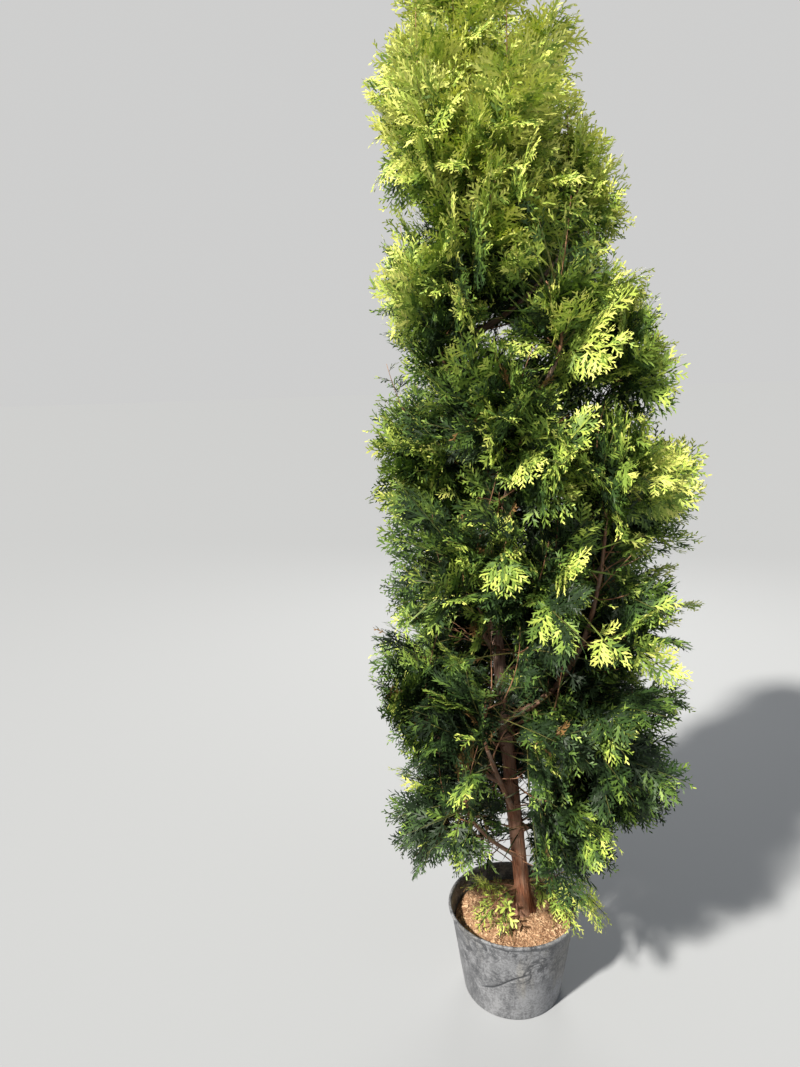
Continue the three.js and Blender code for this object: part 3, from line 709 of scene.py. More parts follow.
def clear_of_trunk(points, margin):
    """True outside the trunk and its margin, or above its tip."""
    share = np.clip(trunk_share(points[..., 2]), 0, 1)
    axis = trunk_axis(share)
    away = np.hypot(points[..., 0] - axis[..., 0], points[..., 1] - axis[..., 1])
    return (away > trunk_radius(share) + margin) | (points[..., 2] > TRUNK_TIP + 5)


# The source's rule: twigs, buds and sprays
def twig_growth():
    """Twigs in turn left and right of each stem, and the buds on stems and twigs, as arrays."""
    mass, order = runs(len(stems), TWIGS)
    number = mass_numbers[mass]

    def draw(use):
        return chance(number, order, 0, use)

    span = (TWIG_FIRST, TWIG_LAST - TWIG_FIRST)
    share = spaced(span, order, TWIGS - 0.3, TWIG_SHIFT * draw(5))
    root = bezier(stem_curves[mass], share)
    heading = heading_on(stem_curves[mass], share)
    aside = turned(unit(np.cross(heading, UP)), heading, np.radians(about(0, TWIG_ROLL, draw(6))))
    side = np.where((order + number) % 2, 1, -1)
    angle = np.radians(about(TWIG_ANGLE, TWIG_TURN, draw(7))) * side
    way = heading * np.cos(angle)[:, None] + aside * np.sin(angle)[:, None]
    way = unit(way - UP * TWIG_DROOP)
    reach = TWIG_REACH * (1.2 - 0.5 * share) * about(1, 0.15, draw(8))
    tip = root + way * reach[:, None]
    level = unit(aside - way * np.sum(aside * way, -1, keepdims=True))
    twigs = {"mass": mass, "root": root, "tip": tip, "way": way, "level": level}
    count = len(stems)
    last = heading_on(stem_curves, np.ones(count))
    tips = bezier(stem_curves, np.full(count, 0.98))
    buds = [
        (np.arange(count), np.full(count, 9), tips, last, unit(np.cross(last, UP)), np.zeros(count)),
        (mass, 10 + 3 * order, tip, way, level, np.zeros(len(mass))),
        (mass, 11 + 3 * order, root, heading, aside, -side),
        (mass, 12 + 3 * order, root + way * (reach * 0.4)[:, None], way, level, side),
    ]
    return twigs, gathered(buds)


def gathered(rows):
    """Buds of several kinds as one set of arrays."""
    keys = ("mass", "number", "root", "heading", "aside", "side")
    return {key: np.concatenate([row[i] for row in rows]) for i, key in enumerate(keys)}


def droop_at(height):
    """How much sprays hang at a height: low ones hang down, those at the top stand up."""
    share = np.clip((height - DROOP_SPAN[0]) / (DROOP_SPAN[1] - DROOP_SPAN[0]), 0, 1)
    return DROOP_LOW + (DROOP_HIGH - DROOP_LOW) * share


def sprays_on(buds, reach, trial, size):
    """A spray for each bud and trial: turned aside from its twig, hanging as it would at its height,
    rolled about its own direction, with a length and an arch of its own."""
    mass, number = mass_numbers[buds["mass"]][:, None], buds["number"][:, None]
    side = buds["side"][:, None]

    def draw(use):
        return chance(mass, number, trial, use)

    angle = np.radians(about(np.where(side, SPRAY_ANGLE, 0), SPRAY_TURN, draw(1))) * np.where(side, side, 1)
    heading, aside = buds["heading"][:, None, :], buds["aside"][:, None, :]
    way = heading * np.cos(angle)[..., None] + aside * np.sin(angle)[..., None]
    way = unit(way - UP * droop_at(buds["root"][:, 2])[:, None, None])
    normal = unit(np.cross(way, np.broadcast_to(aside, way.shape)))
    normal *= np.where(normal[..., 2:] < 0, -1, 1)
    normal = turned(normal, way, np.radians(about(0, SPRAY_ROLL, draw(2))))
    length = reach[:, None] * size * about(1, 0.08, draw(3))
    arch = about(*SPRAY_ARCH, draw(4))
    hand = np.where(side != 0, side, np.where(number % 2, 1, -1)) + np.zeros_like(arch)
    return way, normal, length, arch, about(*SPRAY_OUTER, draw(5)), hand


def outline(root, way, normal, length, arch, hand):
    """The outline's teeth and apex: root + way along L + across aside L - normal arch along^2 L."""
    across = np.cross(normal, way)
    along, aside = np.array([*FULL_TEETH, *((a, -s) for a, s in THIN_TEETH), (1.0, 0.0)]).T
    aside = hand[..., None] * aside
    spots = root[..., None, :] + way[..., None, :] * (along * length[..., None])[..., None]
    spots = spots + across[..., None, :] * (aside * length[..., None])[..., None]
    return spots - normal[..., None, :] * (arch[..., None] * length[..., None] * along**2)[..., None]


def fitted(buds, reach, sizes, tries, slack, spread, margin):
    """For each bud the largest size that keeps to its space in one of its seeded directions."""
    count = len(reach)
    chosen = {
        "way": np.zeros((count, 3)), "normal": np.zeros((count, 3)),
        "length": np.zeros(count), "arch": np.zeros(count),
    }
    waiting = np.arange(count)
    for size in sizes:
        some = only(buds, waiting)
        trial = np.arange(tries)[None, :]
        way, normal, length, arch, own_spread, hand = sprays_on(some, reach[waiting], trial, size)
        root = np.broadcast_to(some["root"][:, None, :], way.shape)
        spots = outline(root, way, normal, length, arch, hand)
        flat = spots.reshape(-1, 3)
        corners = spots.shape[2]
        mass = np.repeat(some["mass"], tries * corners)
        wide = np.repeat((own_spread * spread[waiting][:, None]).reshape(-1), corners)
        good = inside_space(mass, flat, slack, wide) & clear_of_trunk(flat, margin)
        good = good.reshape(len(waiting), tries, corners).all(2)
        rows = np.flatnonzero(good.any(1))
        took, pick = waiting[rows], good.argmax(1)[rows]
        for key, value in (("way", way), ("normal", normal), ("length", length), ("arch", arch)):
            chosen[key][took] = value[rows, pick]
        waiting = waiting[~good.any(1)]
        if not len(waiting):
            break
    keep = chosen["length"] > 0
    return only(chosen, keep), keep


def filler_curves():
    """Thin boughs from the trunk: of seeded spots in the crown, in turn the one that is furthest from
    every mark and from the spots already taken. Each bough sets out low and rises to its spot."""
    order = np.arange(FILLER_SPOTS)
    height = FILLER_FROM + (FILLER_TO - FILLER_FROM) * chance(order, 1, 1, 11)
    azimuth = 2 * np.pi * chance(order, 2, 1, 11)
    middle, radius = crown_at(height)
    reach = radius * FILLER_SHARE
    spots = np.stack([middle + np.cos(azimuth) * reach, np.sin(azimuth) * reach, height], -1)
    away = np.linalg.norm(spots[:, None] - marks.reshape(-1, 3), axis=-1).min(1)
    chosen = []
    for _ in range(FILLERS):
        chosen.append(int(away.argmax()))
        away = np.minimum(away, np.linalg.norm(spots - spots[chosen[-1]], axis=-1))
    tips = spots[chosen]
    roots = trunk_axis(trunk_share(tips[:, 2] - 0.4 * reach[chosen]))
    return np.stack([roots, roots + (tips - roots) * FILLER_BEND, tips], 1)


def whip_growth(twigs):
    """Whips from the outer twigs of each mass: curves that set out half along the twig and half up and
    bend upright, and small sprays along them, longest a third of the way up."""
    mass, number = runs(len(stems), WHIPS)
    tall = ~np.isin(mass, foot_masses)
    mass, number = mass[tall], number[tall]
    twig = mass * TWIGS + TWIGS - 1 - number
    root = twigs["tip"][twig] - twigs["way"][twig] * 8
    length = about(*WHIP_LENGTH, chance(mass, number, 1, 10))
    tilt = [about(0, 0.35, chance(mass, number, use, 10)) for use in (2, 3)]
    lean = np.stack([*tilt, np.ones(len(mass))], -1)
    middle = root + unit(twigs["way"][twig] * 0.8 + lean) * (length * 0.45)[:, None]
    curves = np.stack([root, middle, middle + unit(lean) * (length * 0.55)[:, None]], 1)

    owner, order = runs(len(mass), WHIP_SPRAYS)
    share = spaced((0.1, 0.88), order, WHIP_SPRAYS, 0.6 * chance(owner, order, 4, 10))
    spot, heading = bezier(curves[owner], share), heading_on(curves[owner], share)
    aside = turned(unit(np.cross(heading, UP + 0.01)), heading, order * 2.2 + owner)
    way = unit(heading * about(0.75, 0.2, chance(owner, order, 5, 10))[:, None] + aside)
    normal = unit(np.cross(way, np.cross(heading, way)))
    size = about(*WHIP_SPRAY_LENGTH, chance(owner, order, 6, 10)) * (1.1 - 0.6 * np.abs(share - 0.35))
    arch = about(0.1, 0.1, chance(owner, order, 7, 10))
    axes = {
        "root": spot, "way": way, "normal": normal, "bend": -normal * arch[:, None], "length": size,
        "key": 900.0 + 17.0 * owner + order, "tip": np.zeros(len(owner)), "mass": mass[owner],
    }
    kept = allowed(curves[:, 2])
    return curves[kept], only(axes, allowed(spot) & allowed(spot + way * size[:, None]) & kept[owner])


def nearest_mass(points):
    """The mass whose marks come nearest to each point."""
    flat = marks.reshape(-1, 3)
    return ((points[:, None] - flat) ** 2).sum(-1).argmin(1) // len(MARK_SHARES)


def extra_buds(twigs):
    """More buds: round the stems, along the twigs, on the outer boughs and the fillers, up the hidden
    trunk, and behind the trunk below that."""
    rows, reaches = [], []

    def add(mass, number, root, heading, turn, reach):
        level = unit(np.cross(heading, np.where(np.abs(heading[:, 2:]) > 0.95, EAST, UP)))
        rows.append((mass, number, root, heading, turned(level, heading, turn), np.ones(len(mass))))
        reaches.append(reach)

    many, span, size = ON_STEM
    mass, order = runs(len(stems), many)
    share = spaced(span, order, many, chance(mass, order, 1, 6))
    spot, heading = bezier(stem_curves[mass], share), heading_on(stem_curves[mass], share)
    reach = spray_lengths[mass] * about(*size, chance(mass, order, 2, 6))
    add(mass, FIRST_BUD["stem"] + order, spot, heading, order * GOLDEN_TURN + mass, reach)

    many, span, size = ON_TWIG
    own, order = runs(len(twigs["mass"]), many)
    mass = twigs["mass"][own]
    share = spaced(span, order, many, chance(own, order, 3, 6))
    spot = twigs["root"][own] + (twigs["tip"] - twigs["root"])[own] * share[:, None]
    reach = spray_lengths[mass] * about(*size, chance(own, order, 4, 6))
    number = FIRST_BUD["twig"] + own % TWIGS * 8 + order
    add(mass, number, spot, twigs["way"][own], order * GOLDEN_TURN + own, reach)

    many, span, size = ON_BOUGH
    names = [name for name in boughs if name not in ("bough_right_sweep", "side_stem")]
    nearest = {name: number for number, name in enumerate(names)}
    nearest["bough_right_sweep"], nearest["side_stem"] = nearest["bough_right_rise"], len(stems) - 2
    for name, (curve, _, _) in boughs.items():
        mass, order = np.full(many, nearest[name]), np.arange(many)
        share = spaced(span, order, many, chance(mass, order, 5, 6))
        curves = np.broadcast_to(curve, (many, 3, 3))
        spot, heading = bezier(curves, share), heading_on(curves, share)
        reach = about(*size, chance(mass, order, 6, 6))
        add(mass, FIRST_BUD["bough"] + order, spot, heading, order * GOLDEN_TURN + mass, reach)

    many, span, size = ON_FILLER
    owner, order = runs(FILLERS, many)
    share = spaced(span, order, many, chance(owner, order, 8, 6))
    spot, heading = bezier(fillers[owner], share), heading_on(fillers[owner], share)
    reach = about(*size, chance(owner, order, 9, 6))
    number = FIRST_BUD["filler"] + owner * many + order
    add(nearest_mass(spot), number, spot, heading, order * GOLDEN_TURN + owner, reach)

    many, lowest, size = ON_TRUNK
    order = np.arange(many)
    climb = 1 - (1 - (order + 0.5) / many) ** 1.3
    spot = trunk_axis(trunk_share(lowest + (TRUNK_TIP - 12 - lowest) * climb))
    out = round_way(order * GOLDEN_TURN)
    reach = about(*size, chance(order, 7, 7, 6))
    number = FIRST_BUD["trunk"] + order
    add(nearest_mass(spot + out * 60), number, spot, unit(out + UP * 0.9), order * 1.3, reach)

    highest = lowest
    many, lowest, size = BEHIND
    order = np.arange(many)
    height = lowest + (highest - lowest) * (order + 0.5) / many
    out = round_way(np.radians(about(*BEHIND_AZIMUTH, chance(order, 1, 8, 6))))
    spot = trunk_axis(trunk_share(height)) + out * about(*BEHIND_AWAY, chance(order, 2, 8, 6))[:, None]
    reach = about(*size, chance(order, 3, 8, 6))
    number = FIRST_BUD["behind"] + order
    add(nearest_mass(spot + out * 30), number, spot, unit(out + UP * 0.5), order * 1.3, reach)

    buds = gathered(rows)
    keep = ~np.isin(buds["mass"], foot_masses) | (chance(buds["number"], 1, 8, 6) < FOOT_EXTRAS)
    open_top = (buds["root"][:, 2] > OPEN_FROM) & (buds["number"] < FIRST_BUD["trunk"])
    keep &= ~open_top | (chance(buds["number"], buds["mass"], 10, 6) > OPEN_SHARE)
    return only(buds, keep), np.concatenate(reaches)[keep]


# Finer axes of a spray
def axes_of(buds, chosen, keep):
    """Each spray's main stalk: a root, a direction, a bend and a side that faces up."""
    normal = chosen["normal"]
    return {
        "root": buds["root"][keep], "way": chosen["way"], "normal": normal,
        "bend": -normal * chosen["arch"][:, None], "length": chosen["length"],
        "key": buds["number"][keep] + 131.0 * buds["mass"][keep], "tip": np.zeros(keep.sum()),
        "mass": buds["mass"][keep],
    }


def on_axis(axes, rows, share):
    """A point root + L (way t + bend t^2), the direction there and the side that faces up there."""
    t = share[:, None]
    length = axes["length"][rows][:, None]
    way, bend = axes["way"][rows], axes["bend"][rows]
    point = axes["root"][rows] + length * (way * t + bend * t * t)
    heading = unit(way + 2 * bend * t)
    normal = axes["normal"][rows]
    return point, heading, unit(normal - heading * np.sum(normal * heading, -1, keepdims=True))


def gaps_on(length, coarse, wide, part, least, most):
    """The gap between side axes: a wide one where coarse, else a part of the length within limits."""
    return np.where(coarse, wide, np.clip(length / part, least, most))


def offshoots(axes, gap, rule):
    """Side axes in turn left and right: evenly spaced shares of the axis with a little chance, a
    length from the profile, an angle that closes towards the tip, and a bend along the axis."""
    least, profile, angle, roll, lift, hang, use = rule
    count = np.maximum(least, np.round(axes["length"] / gap)).astype(int)
    rows = np.repeat(np.arange(len(count)), count)
    order = np.arange(count.sum()) - np.repeat(np.cumsum(count) - count, count)
    key = axes["key"][rows]

    def draw(number):
        return chance(key, order, use, number)

    share = (order + 0.45 + 0.5 * draw(1)) / count[rows]
    point, heading, normal = on_axis(axes, rows, share)
    across = np.cross(normal, heading)
    side = np.where((order + rows) % 2, 1.0, -1.0)
    turn = np.radians(about(angle[0] + (angle[1] - angle[0]) * share, 7, draw(2)))
    way = heading * np.cos(turn)[:, None] + across * (side * np.sin(turn))[:, None]
    way = unit(way + normal * about(lift, 0.12, draw(3))[:, None] - UP * hang)
    facing = unit(normal - way * np.sum(normal * way, -1, keepdims=True))
    facing = turned(facing, way, np.radians(about(0, roll, draw(4))))
    shares, sizes = np.array(profile).T
    length = axes["length"][rows] * np.interp(share, shares, sizes) * about(1, 0.22, draw(5))
    bend = heading * 0.16 - facing * about(0.1, 0.09, draw(6))[:, None]
    return {
        "root": point, "way": way, "normal": facing, "bend": bend, "length": length,
        "key": key * 1.618 + order * 7.31 + 3, "tip": share, "parent": rows,
    }


def strips(axes, widths, bands):
    """A pointed strip along each axis: two points half a width off the axis at each band's share of its
    length, and one point at its tip. It has two faces for each band but the last, and one at the tip."""
    rows = np.arange(len(axes["length"]))
    points = []
    for share, wide in bands:
        middle, heading, normal = on_axis(axes, rows, np.full(len(rows), share))
        across = np.cross(normal, heading) * (widths * wide / 2)[:, None]
        points += [middle + across, middle - across]
    tip, _, _ = on_axis(axes, rows, np.ones(len(rows)))
    pattern = []
    for band in range(len(bands) - 1):
        left = 2 * band
        pattern += [(left, left + 1, left + 3), (left, left + 3, left + 2)]
    last = 2 * len(bands)
    pattern.append((last - 2, last - 1, last))
    return np.stack(points + [tip], 1), np.array(pattern)


def ring_ways(heading, chord):
    """Two directions square to a curve and to each other at each of its points."""
    first = unit(np.cross(heading, np.where(np.abs(chord[..., 2:]) > 0.8, EAST, UP)))
    return first, np.cross(heading, first)


def stalks(curves, root_radius, tip_radius, rows, sides):
    """Round tapering tubes along Bezier curves, their rings set square to the curve."""
    share = np.broadcast_to(np.linspace(0, 1, rows), (len(curves), rows))
    middle = bezier(curves[:, None], share)
    chord = curves[:, 2] - curves[:, 0]
    first, second = ring_ways(heading_on(curves[:, None], share), unit(chord)[:, None, :])
    radius = root_radius[:, None] + (tip_radius - root_radius)[:, None] * share
    turn = (np.arange(sides) / sides * 2 * np.pi)[:, None]
    offset = first[:, :, None] * np.cos(turn) + second[:, :, None] * np.sin(turn)
    rings = middle[:, :, None] + offset * radius[:, :, None, None]
    return lofted(rings, root_radius * 2 * np.pi, share * np.linalg.norm(chord, axis=1)[:, None])


def hides_soil(points):
    """True where a straight line from the viewer's eye through a point goes on to the front of the
    pot's mouth."""
    ray = points - VIEWER
    down = np.where(ray[..., 2] < -1, (POT_HEIGHT - VIEWER[2]) / np.minimum(ray[..., 2], -1), 0)
    ground = VIEWER[:2] + ray[..., :2] * down[..., None]
    radial = np.hypot(ground[..., 0], ground[..., 1])
    return (down > 1) & (radial < BARE_POT_RADIUS) & (ground[..., 1] < BARE_POT_BACK)


def hides_trunk(points, margin, eye=VIEWER, span=(0, BARE_TOP)):
    """True where a straight line from an eye through a point goes on to the trunk between two heights.
    The height where the line passes the leaning trunk is found in three rounds, from a guess."""
    ray = points - eye
    flat = np.sum(ray[..., :2] ** 2, -1)
    height = np.full(ray.shape[:-1], 500.0)
    for _ in range(3):
        axis = trunk_axis(np.clip(trunk_share(height), 0, 1))
        gap = axis[..., :2] - eye[:2]
        reach = np.sum(gap * ray[..., :2], -1) / flat
        height = eye[2] + reach * ray[..., 2]
    aside = np.abs(gap[..., 0] * ray[..., 1] - gap[..., 1] * ray[..., 0]) / np.sqrt(flat)
    return (reach > 1) & (aside < TRUNK_RADIUS + margin) & (height > span[0]) & (height < span[1])


def shades_trunk(points):
    """True where a point stands between the sun and a stretch of the trunk that the sun reaches."""
    azimuth, elevation = math.radians(SUN_AZIMUTH), math.radians(SUN_ELEVATION)
    level = SUN_FAR * math.cos(elevation)
    sun = np.array([level * math.cos(azimuth), level * math.sin(azimuth), SUN_FAR * math.sin(elevation)])
    return np.any([hides_trunk(points, SUN_MARGIN, sun, span) for span in SUN_SPANS], axis=0)


def hides_foot(points):
    """True where a point hides the soil or the foot of the trunk from the viewer's eye."""
    return hides_soil(points) | hides_trunk(points, BARE_MARGIN)


def hides_limb(points, margin):
    """True where a point is nearer to the viewer's eye than some point of a bare bough and stands less
    than the margin off the straight line between the two."""
    shares = np.linspace(0.12, 0.96, 18)
    seen = np.concatenate([bezier(boughs[name][0], shares) for name in BARE_LIMBS]) - VIEWER
    far = np.linalg.norm(seen, axis=1)
    ray = points - VIEWER
    along = ray @ (seen / far[:, None]).T
    aside = np.sqrt(np.maximum((ray**2).sum(1)[:, None] - along**2, 0))
    return ((along < far - 8) & (aside < margin)).any(1)


def allowed(points):
    """True where a leaf may be: in the crown's envelope, off the trunk, the pot and the soil, and in
    the box of the part."""
    middle, radius = crown_at(points[:, 2])
    good = np.hypot(points[:, 0] - middle, points[:, 1]) <= np.maximum(radius, 30) * ENVELOPE_SPREAD
    good &= clear_of_trunk(points, LEAF_TRUNK_ROOM)
    radial = np.hypot(points[:, 0], points[:, 1])
    wall = POT_FOOT_RADIUS + POT_SLOPE * points[:, 2]
    in_wall = radial > wall - POT_WALL - LEAF_WALL_ROOM
    in_wall &= radial < np.maximum(wall, POT_RIM_RADIUS) + LEAF_ROOM
    good &= ~((points[:, 2] < POT_HEIGHT + LEAF_ROOM) & in_wall)
    good &= ~((points[:, 2] < SOIL_LEVEL + SOIL_CROWN + LEAF_ROOM) & (radial < POT_RIM_RADIUS))
    low, high = (np.array(corner) / MM for corner in CAD_BOX)
    return good & (points > low - PAST_BOX).all(1) & (points < high + PAST_BOX).all(1)


# Node groups
def group(name, colours, values, results):
    """An empty shader node group that takes a vector, colours and values: the tree, the sockets of what
    comes in, and those of its results."""
    tree = bpy.data.node_groups.new(name, "ShaderNodeTree")

    def socket(label, kind, side="INPUT"):
        return tree.interface.new_socket(label, in_out=side, socket_type="NodeSocket" + kind)

    socket("Vector", "Vector")
    for label in colours:
        socket(label, "Color")
    for label, value in values.items():
        socket(label, "Float").default_value = value
    for label in results:
        socket(label, "Color" if label == "Color" else "Float", "OUTPUT")
    return tree, tree.nodes.new("NodeGroupInput").outputs, tree.nodes.new("NodeGroupOutput").inputs


def node(tree, kind, links=(), **settings):
    """A node with its settings and inputs: each link is an input and either a socket or a value."""
    made = tree.nodes.new(kind)
    for key, value in settings.items():
        setattr(made, key, value)
    for key, value in links:
        if isinstance(value, bpy.types.NodeSocket):
            tree.links.new(value, made.inputs[key])
        else:
            made.inputs[key].default_value = value
    return made


def ramp(tree, value, *stops):
    """Grey levels by straight lines between stops, each a place from 0 to 1 and a level."""
    made = node(tree, "ShaderNodeValToRGB", [("Fac", value)])
    elements = made.color_ramp.elements
    while len(elements) < len(stops):
        elements.new(0.5)
    for element, (place, level) in zip(elements, stops):
        element.position = place
        element.color = (level, level, level, 1)
    return made.outputs["Color"]


def noise(tree, vector, scale, detail=4.0, rough=0.55, distort=0.0):
    """A noise texture's values."""
    names = ("Vector", "Scale", "Detail", "Roughness", "Distortion")
    links = zip(names, (vector, scale, detail, rough, distort))
    return node(tree, "ShaderNodeTexNoise", links).outputs["Fac"]


def mixed(tree, share, first, second):
    """The first colour, and a share of the second over it."""
    links = [(0, share), (6, first), (7, second)]
    return node(tree, "ShaderNodeMix", links, data_type="RGBA").outputs[2]


def maths(tree, operation, first, second=0.0):
    """One operation on one or two values."""
    return node(tree, "ShaderNodeMath", [(0, first), (1, second)], operation=operation).outputs[0]


def product(tree, first, *others):
    """All the values multiplied."""
    for other in others:
        first = maths(tree, "MULTIPLY", first, other)
    return first


def summed(tree, first, *others):
    """All the values added."""
    for other in others:
        first = maths(tree, "ADD", first, other)
    return first


def weighted(tree, *parts):
    """The sum of values, each times its weight."""
    return summed(tree, *(product(tree, value, weight) for value, weight in parts))


def stretched(tree, vector, *scale):
    """A vector with each of its numbers times a scale."""
    return node(tree, "ShaderNodeMapping", [("Vector", vector), ("Scale", scale)]).outputs[0]


def parted(tree, vector):
    """The three numbers of a vector."""
    return node(tree, "ShaderNodeSeparateXYZ", [(0, vector)]).outputs


def give(tree, end, **results):
    """The finished group, with its results joined to its outputs."""
    for label, socket in results.items():
        tree.links.new(socket, end[label])
    return tree


def fibrous_bark():
    """Stringy bark: dark furrows and light strips drawn out along the limb, with grey patches, and
    smoother and paler with height, from the height that the group is given for it. On the trunk this
    paler colour is partly the greyer upper bark and partly painted light, the upper trunk paler as if
    in sun where the foliage shades it."""
    tree, put, end = group(
        "fibrous bark", ("Strip", "Furrow", "Weathered", "Young sunlit"), {"Young from": 0.6, "Fineness": 1.0},
        ("Color", "Roughness", "Height"),
    )
    drawn = stretched(tree, put["Vector"], 1.0, 0.07, 1.0)
    fine = noise(tree, drawn, product(tree, put["Fineness"], 520.0), 5.0, 0.62, 0.4)
    broad = noise(tree, drawn, product(tree, put["Fineness"], 190.0), 3.0, 0.5, 0.8)
    patch = noise(tree, stretched(tree, put["Vector"], 1.0, 0.3, 1.0), 42.0, 4.0, 0.6, 0.5)
    strips = ramp(tree, weighted(tree, (fine, 0.55), (broad, 0.45)), (0.36, 0.0), (0.48, 0.45), (0.62, 1.0))
    grey = ramp(tree, patch, (0.42, 0.0), (0.62, 0.85))
    bark = mixed(tree, grey, mixed(tree, strips, put["Furrow"], put["Strip"]), put["Weathered"])
    # The paler colour's share, growing above its height: on the trunk, partly painted light
    above = maths(tree, "SUBTRACT", parted(tree, put["Vector"])[1], put["Young from"])
    young_sunlit_share = maths(tree, "MINIMUM", maths(tree, "MAXIMUM", product(tree, above, 3.2), 0.0), 0.8)
    smooth = mixed(tree, product(tree, strips, 0.9), bark, put["Young sunlit"])
    rough = summed(tree, 0.74, product(tree, grey, 0.14))
    return give(tree, end, Color=mixed(tree, young_sunlit_share, bark, smooth), Roughness=rough, Height=strips)


def painted_crease_shade(tree, vector):
    """Painted shade along the crease under the pot's dent: 1 along it and 0 off it, from the turn and the
    height of a place.
    """
    x, y, height = parted(tree, vector)
    away = maths(tree, "SUBTRACT", maths(tree, "ARCTAN2", y, x), DENT_TURN - 2 * math.pi)
    wave = product(tree, maths(tree, "SINE", product(tree, away, CREASE_WAVES)), CREASE_WAVE * MM)
    line = summed(tree, product(tree, away, CREASE_RISE * MM), CREASE_HEIGHT * MM, wave)
    gap = maths(tree, "ABSOLUTE", maths(tree, "SUBTRACT", height, line))
    thin = ramp(tree, product(tree, gap, 100.0), (0.10, 1.0), (0.30, 0.0))
    near = ramp(tree, maths(tree, "ABSOLUTE", away), (0.34, 1.0), (0.46, 0.0))
    return product(tree, thin, near)


def dusty_plastic():
    """Moulded plastic under a film of dust: pale in clouds, with grey-brown silt in patches and runs, and
    dark where the dust is thin: in smudges that wind over the wall's upper half, partly wiped dust and
    partly painted shadows of the foliage, and in a line of painted shade along its crease."""
    tree, put, end = group(
        "dusty plastic", ("Plastic", "Dust", "Silt"), {"Amount": 0.9}, ("Color", "Roughness", "Height"),
    )
    place = put["Vector"]
    streak = stretched(tree, place, 1.0, 1.0, 0.22)
    speck = noise(tree, place, 210.0, 4.0, 0.7)
    clouds, runs_down = noise(tree, place, 11.0, 6.0, 0.66, 0.7), noise(tree, streak, 58.0, 5.0, 0.65)
    film = weighted(tree, (clouds, 0.42), (runs_down, 0.2), (speck, 0.38))
    # Dark smudges, kept to the wall's upper half: partly wiped dust and partly painted shadows of the foliage
    # above
    edge = maths(tree, "ABSOLUTE", maths(tree, "SUBTRACT", noise(tree, place, 15.0, 2.0, 0.5, 1.2), 0.5))
    line = ramp(tree, edge, (0.0, 1.0), (0.014, 0.8), (0.030, 0.0))
    blot = ramp(tree, noise(tree, place, 40.0, 7.0, 0.8, 0.5), (0.49, 0.0), (0.57, 0.95))
    where = ramp(tree, noise(tree, place, 8.0, 2.0, 0.5), (0.38, 0.0), (0.50, 1.0))
    height = product(tree, parted(tree, place)[2], 1 / (POT_HEIGHT * MM))
    upper = ramp(tree, height, (0.38, 0.12), (0.56, 1.0))
    smudge_and_painted_shadow = product(tree, maths(tree, "MAXIMUM", line, blot), product(tree, where, upper))
    # Painted shade: the crease's line darkened as if in its own shadow
    smudge_and_painted_shadow = maths(tree, "MAXIMUM", smudge_and_painted_shadow, painted_crease_shade(tree, place))
    wiped_and_shaded = maths(tree, "SUBTRACT", 1.0, product(tree, smudge_and_painted_shadow, 0.94))
    dust = product(tree, ramp(tree, film, (0.39, 0.06), (0.475, 0.5), (0.56, 1.0)), put["Amount"], wiped_and_shaded)
    silt = ramp(tree, noise(tree, streak, 14.0, 5.0, 0.6, 0.4), (0.50, 0.0), (0.66, 0.75))
    colour = mixed(tree, dust, put["Plastic"], mixed(tree, silt, put["Dust"], put["Silt"]))
    rough = summed(tree, 0.40, product(tree, dust, 0.45))
    relief = summed(tree, speck, product(tree, dust, 0.4))
    return give(tree, end, Color=colour, Roughness=rough, Height=relief)


def mottled():
    """A colour with fine lighter and darker mottling, for soil crumbs, twigs and leaves."""
    tree, put, end = group("mottled", ("Light", "Dark"), {"Broad": 40.0, "Fine": 300.0}, ("Color", "Height"))
    broad = noise(tree, put["Vector"], put["Broad"], 4.0, 0.6, 0.3)
    fine = noise(tree, put["Vector"], put["Fine"], 4.0, 0.65)
    share = ramp(tree, weighted(tree, (broad, 0.55), (fine, 0.45)), (0.36, 0.0), (0.64, 1.0))
    return give(tree, end, Color=mixed(tree, share, put["Dark"], put["Light"]), Height=fine)


def material(name, tree, place, roughness, bump, depth, specular, values):
    """A material whose Principled shader takes its colour, a bump and perhaps its roughness from a node
    group. A value of three numbers is a colour."""
    made = bpy.data.materials.new(name)
    made.use_nodes = True
    nodes = made.node_tree
    shader = nodes.nodes["Principled BSDF"]
    shader.inputs["Specular IOR Level"].default_value = specular
    finish = node(nodes, "ShaderNodeGroup", node_tree=tree)
    nodes.links.new(node(nodes, "ShaderNodeTexCoord").outputs[place], finish.inputs["Vector"])
    for key, value in values.items():
        finish.inputs[key].default_value = (*value, 1.0) if isinstance(value, tuple) else value
    nodes.links.new(finish.outputs["Color"], shader.inputs["Base Color"])
    if "Roughness" in finish.outputs:
        nodes.links.new(finish.outputs["Roughness"], shader.inputs["Roughness"])
    else:
        shader.inputs["Roughness"].default_value = roughness
    links = [("Strength", bump), ("Distance", depth), ("Height", finish.outputs["Height"])]
    nodes.links.new(node(nodes, "ShaderNodeBump", links).outputs["Normal"], shader.inputs["Normal"])
    return made


# Each material: its group, what its pattern is laid by, its roughness where the group gives none, its
# bump's strength and depth in metres, its specular level, and the group's colours and scales
bark, plastic, mottling = fibrous_bark(), dusty_plastic(), mottled()
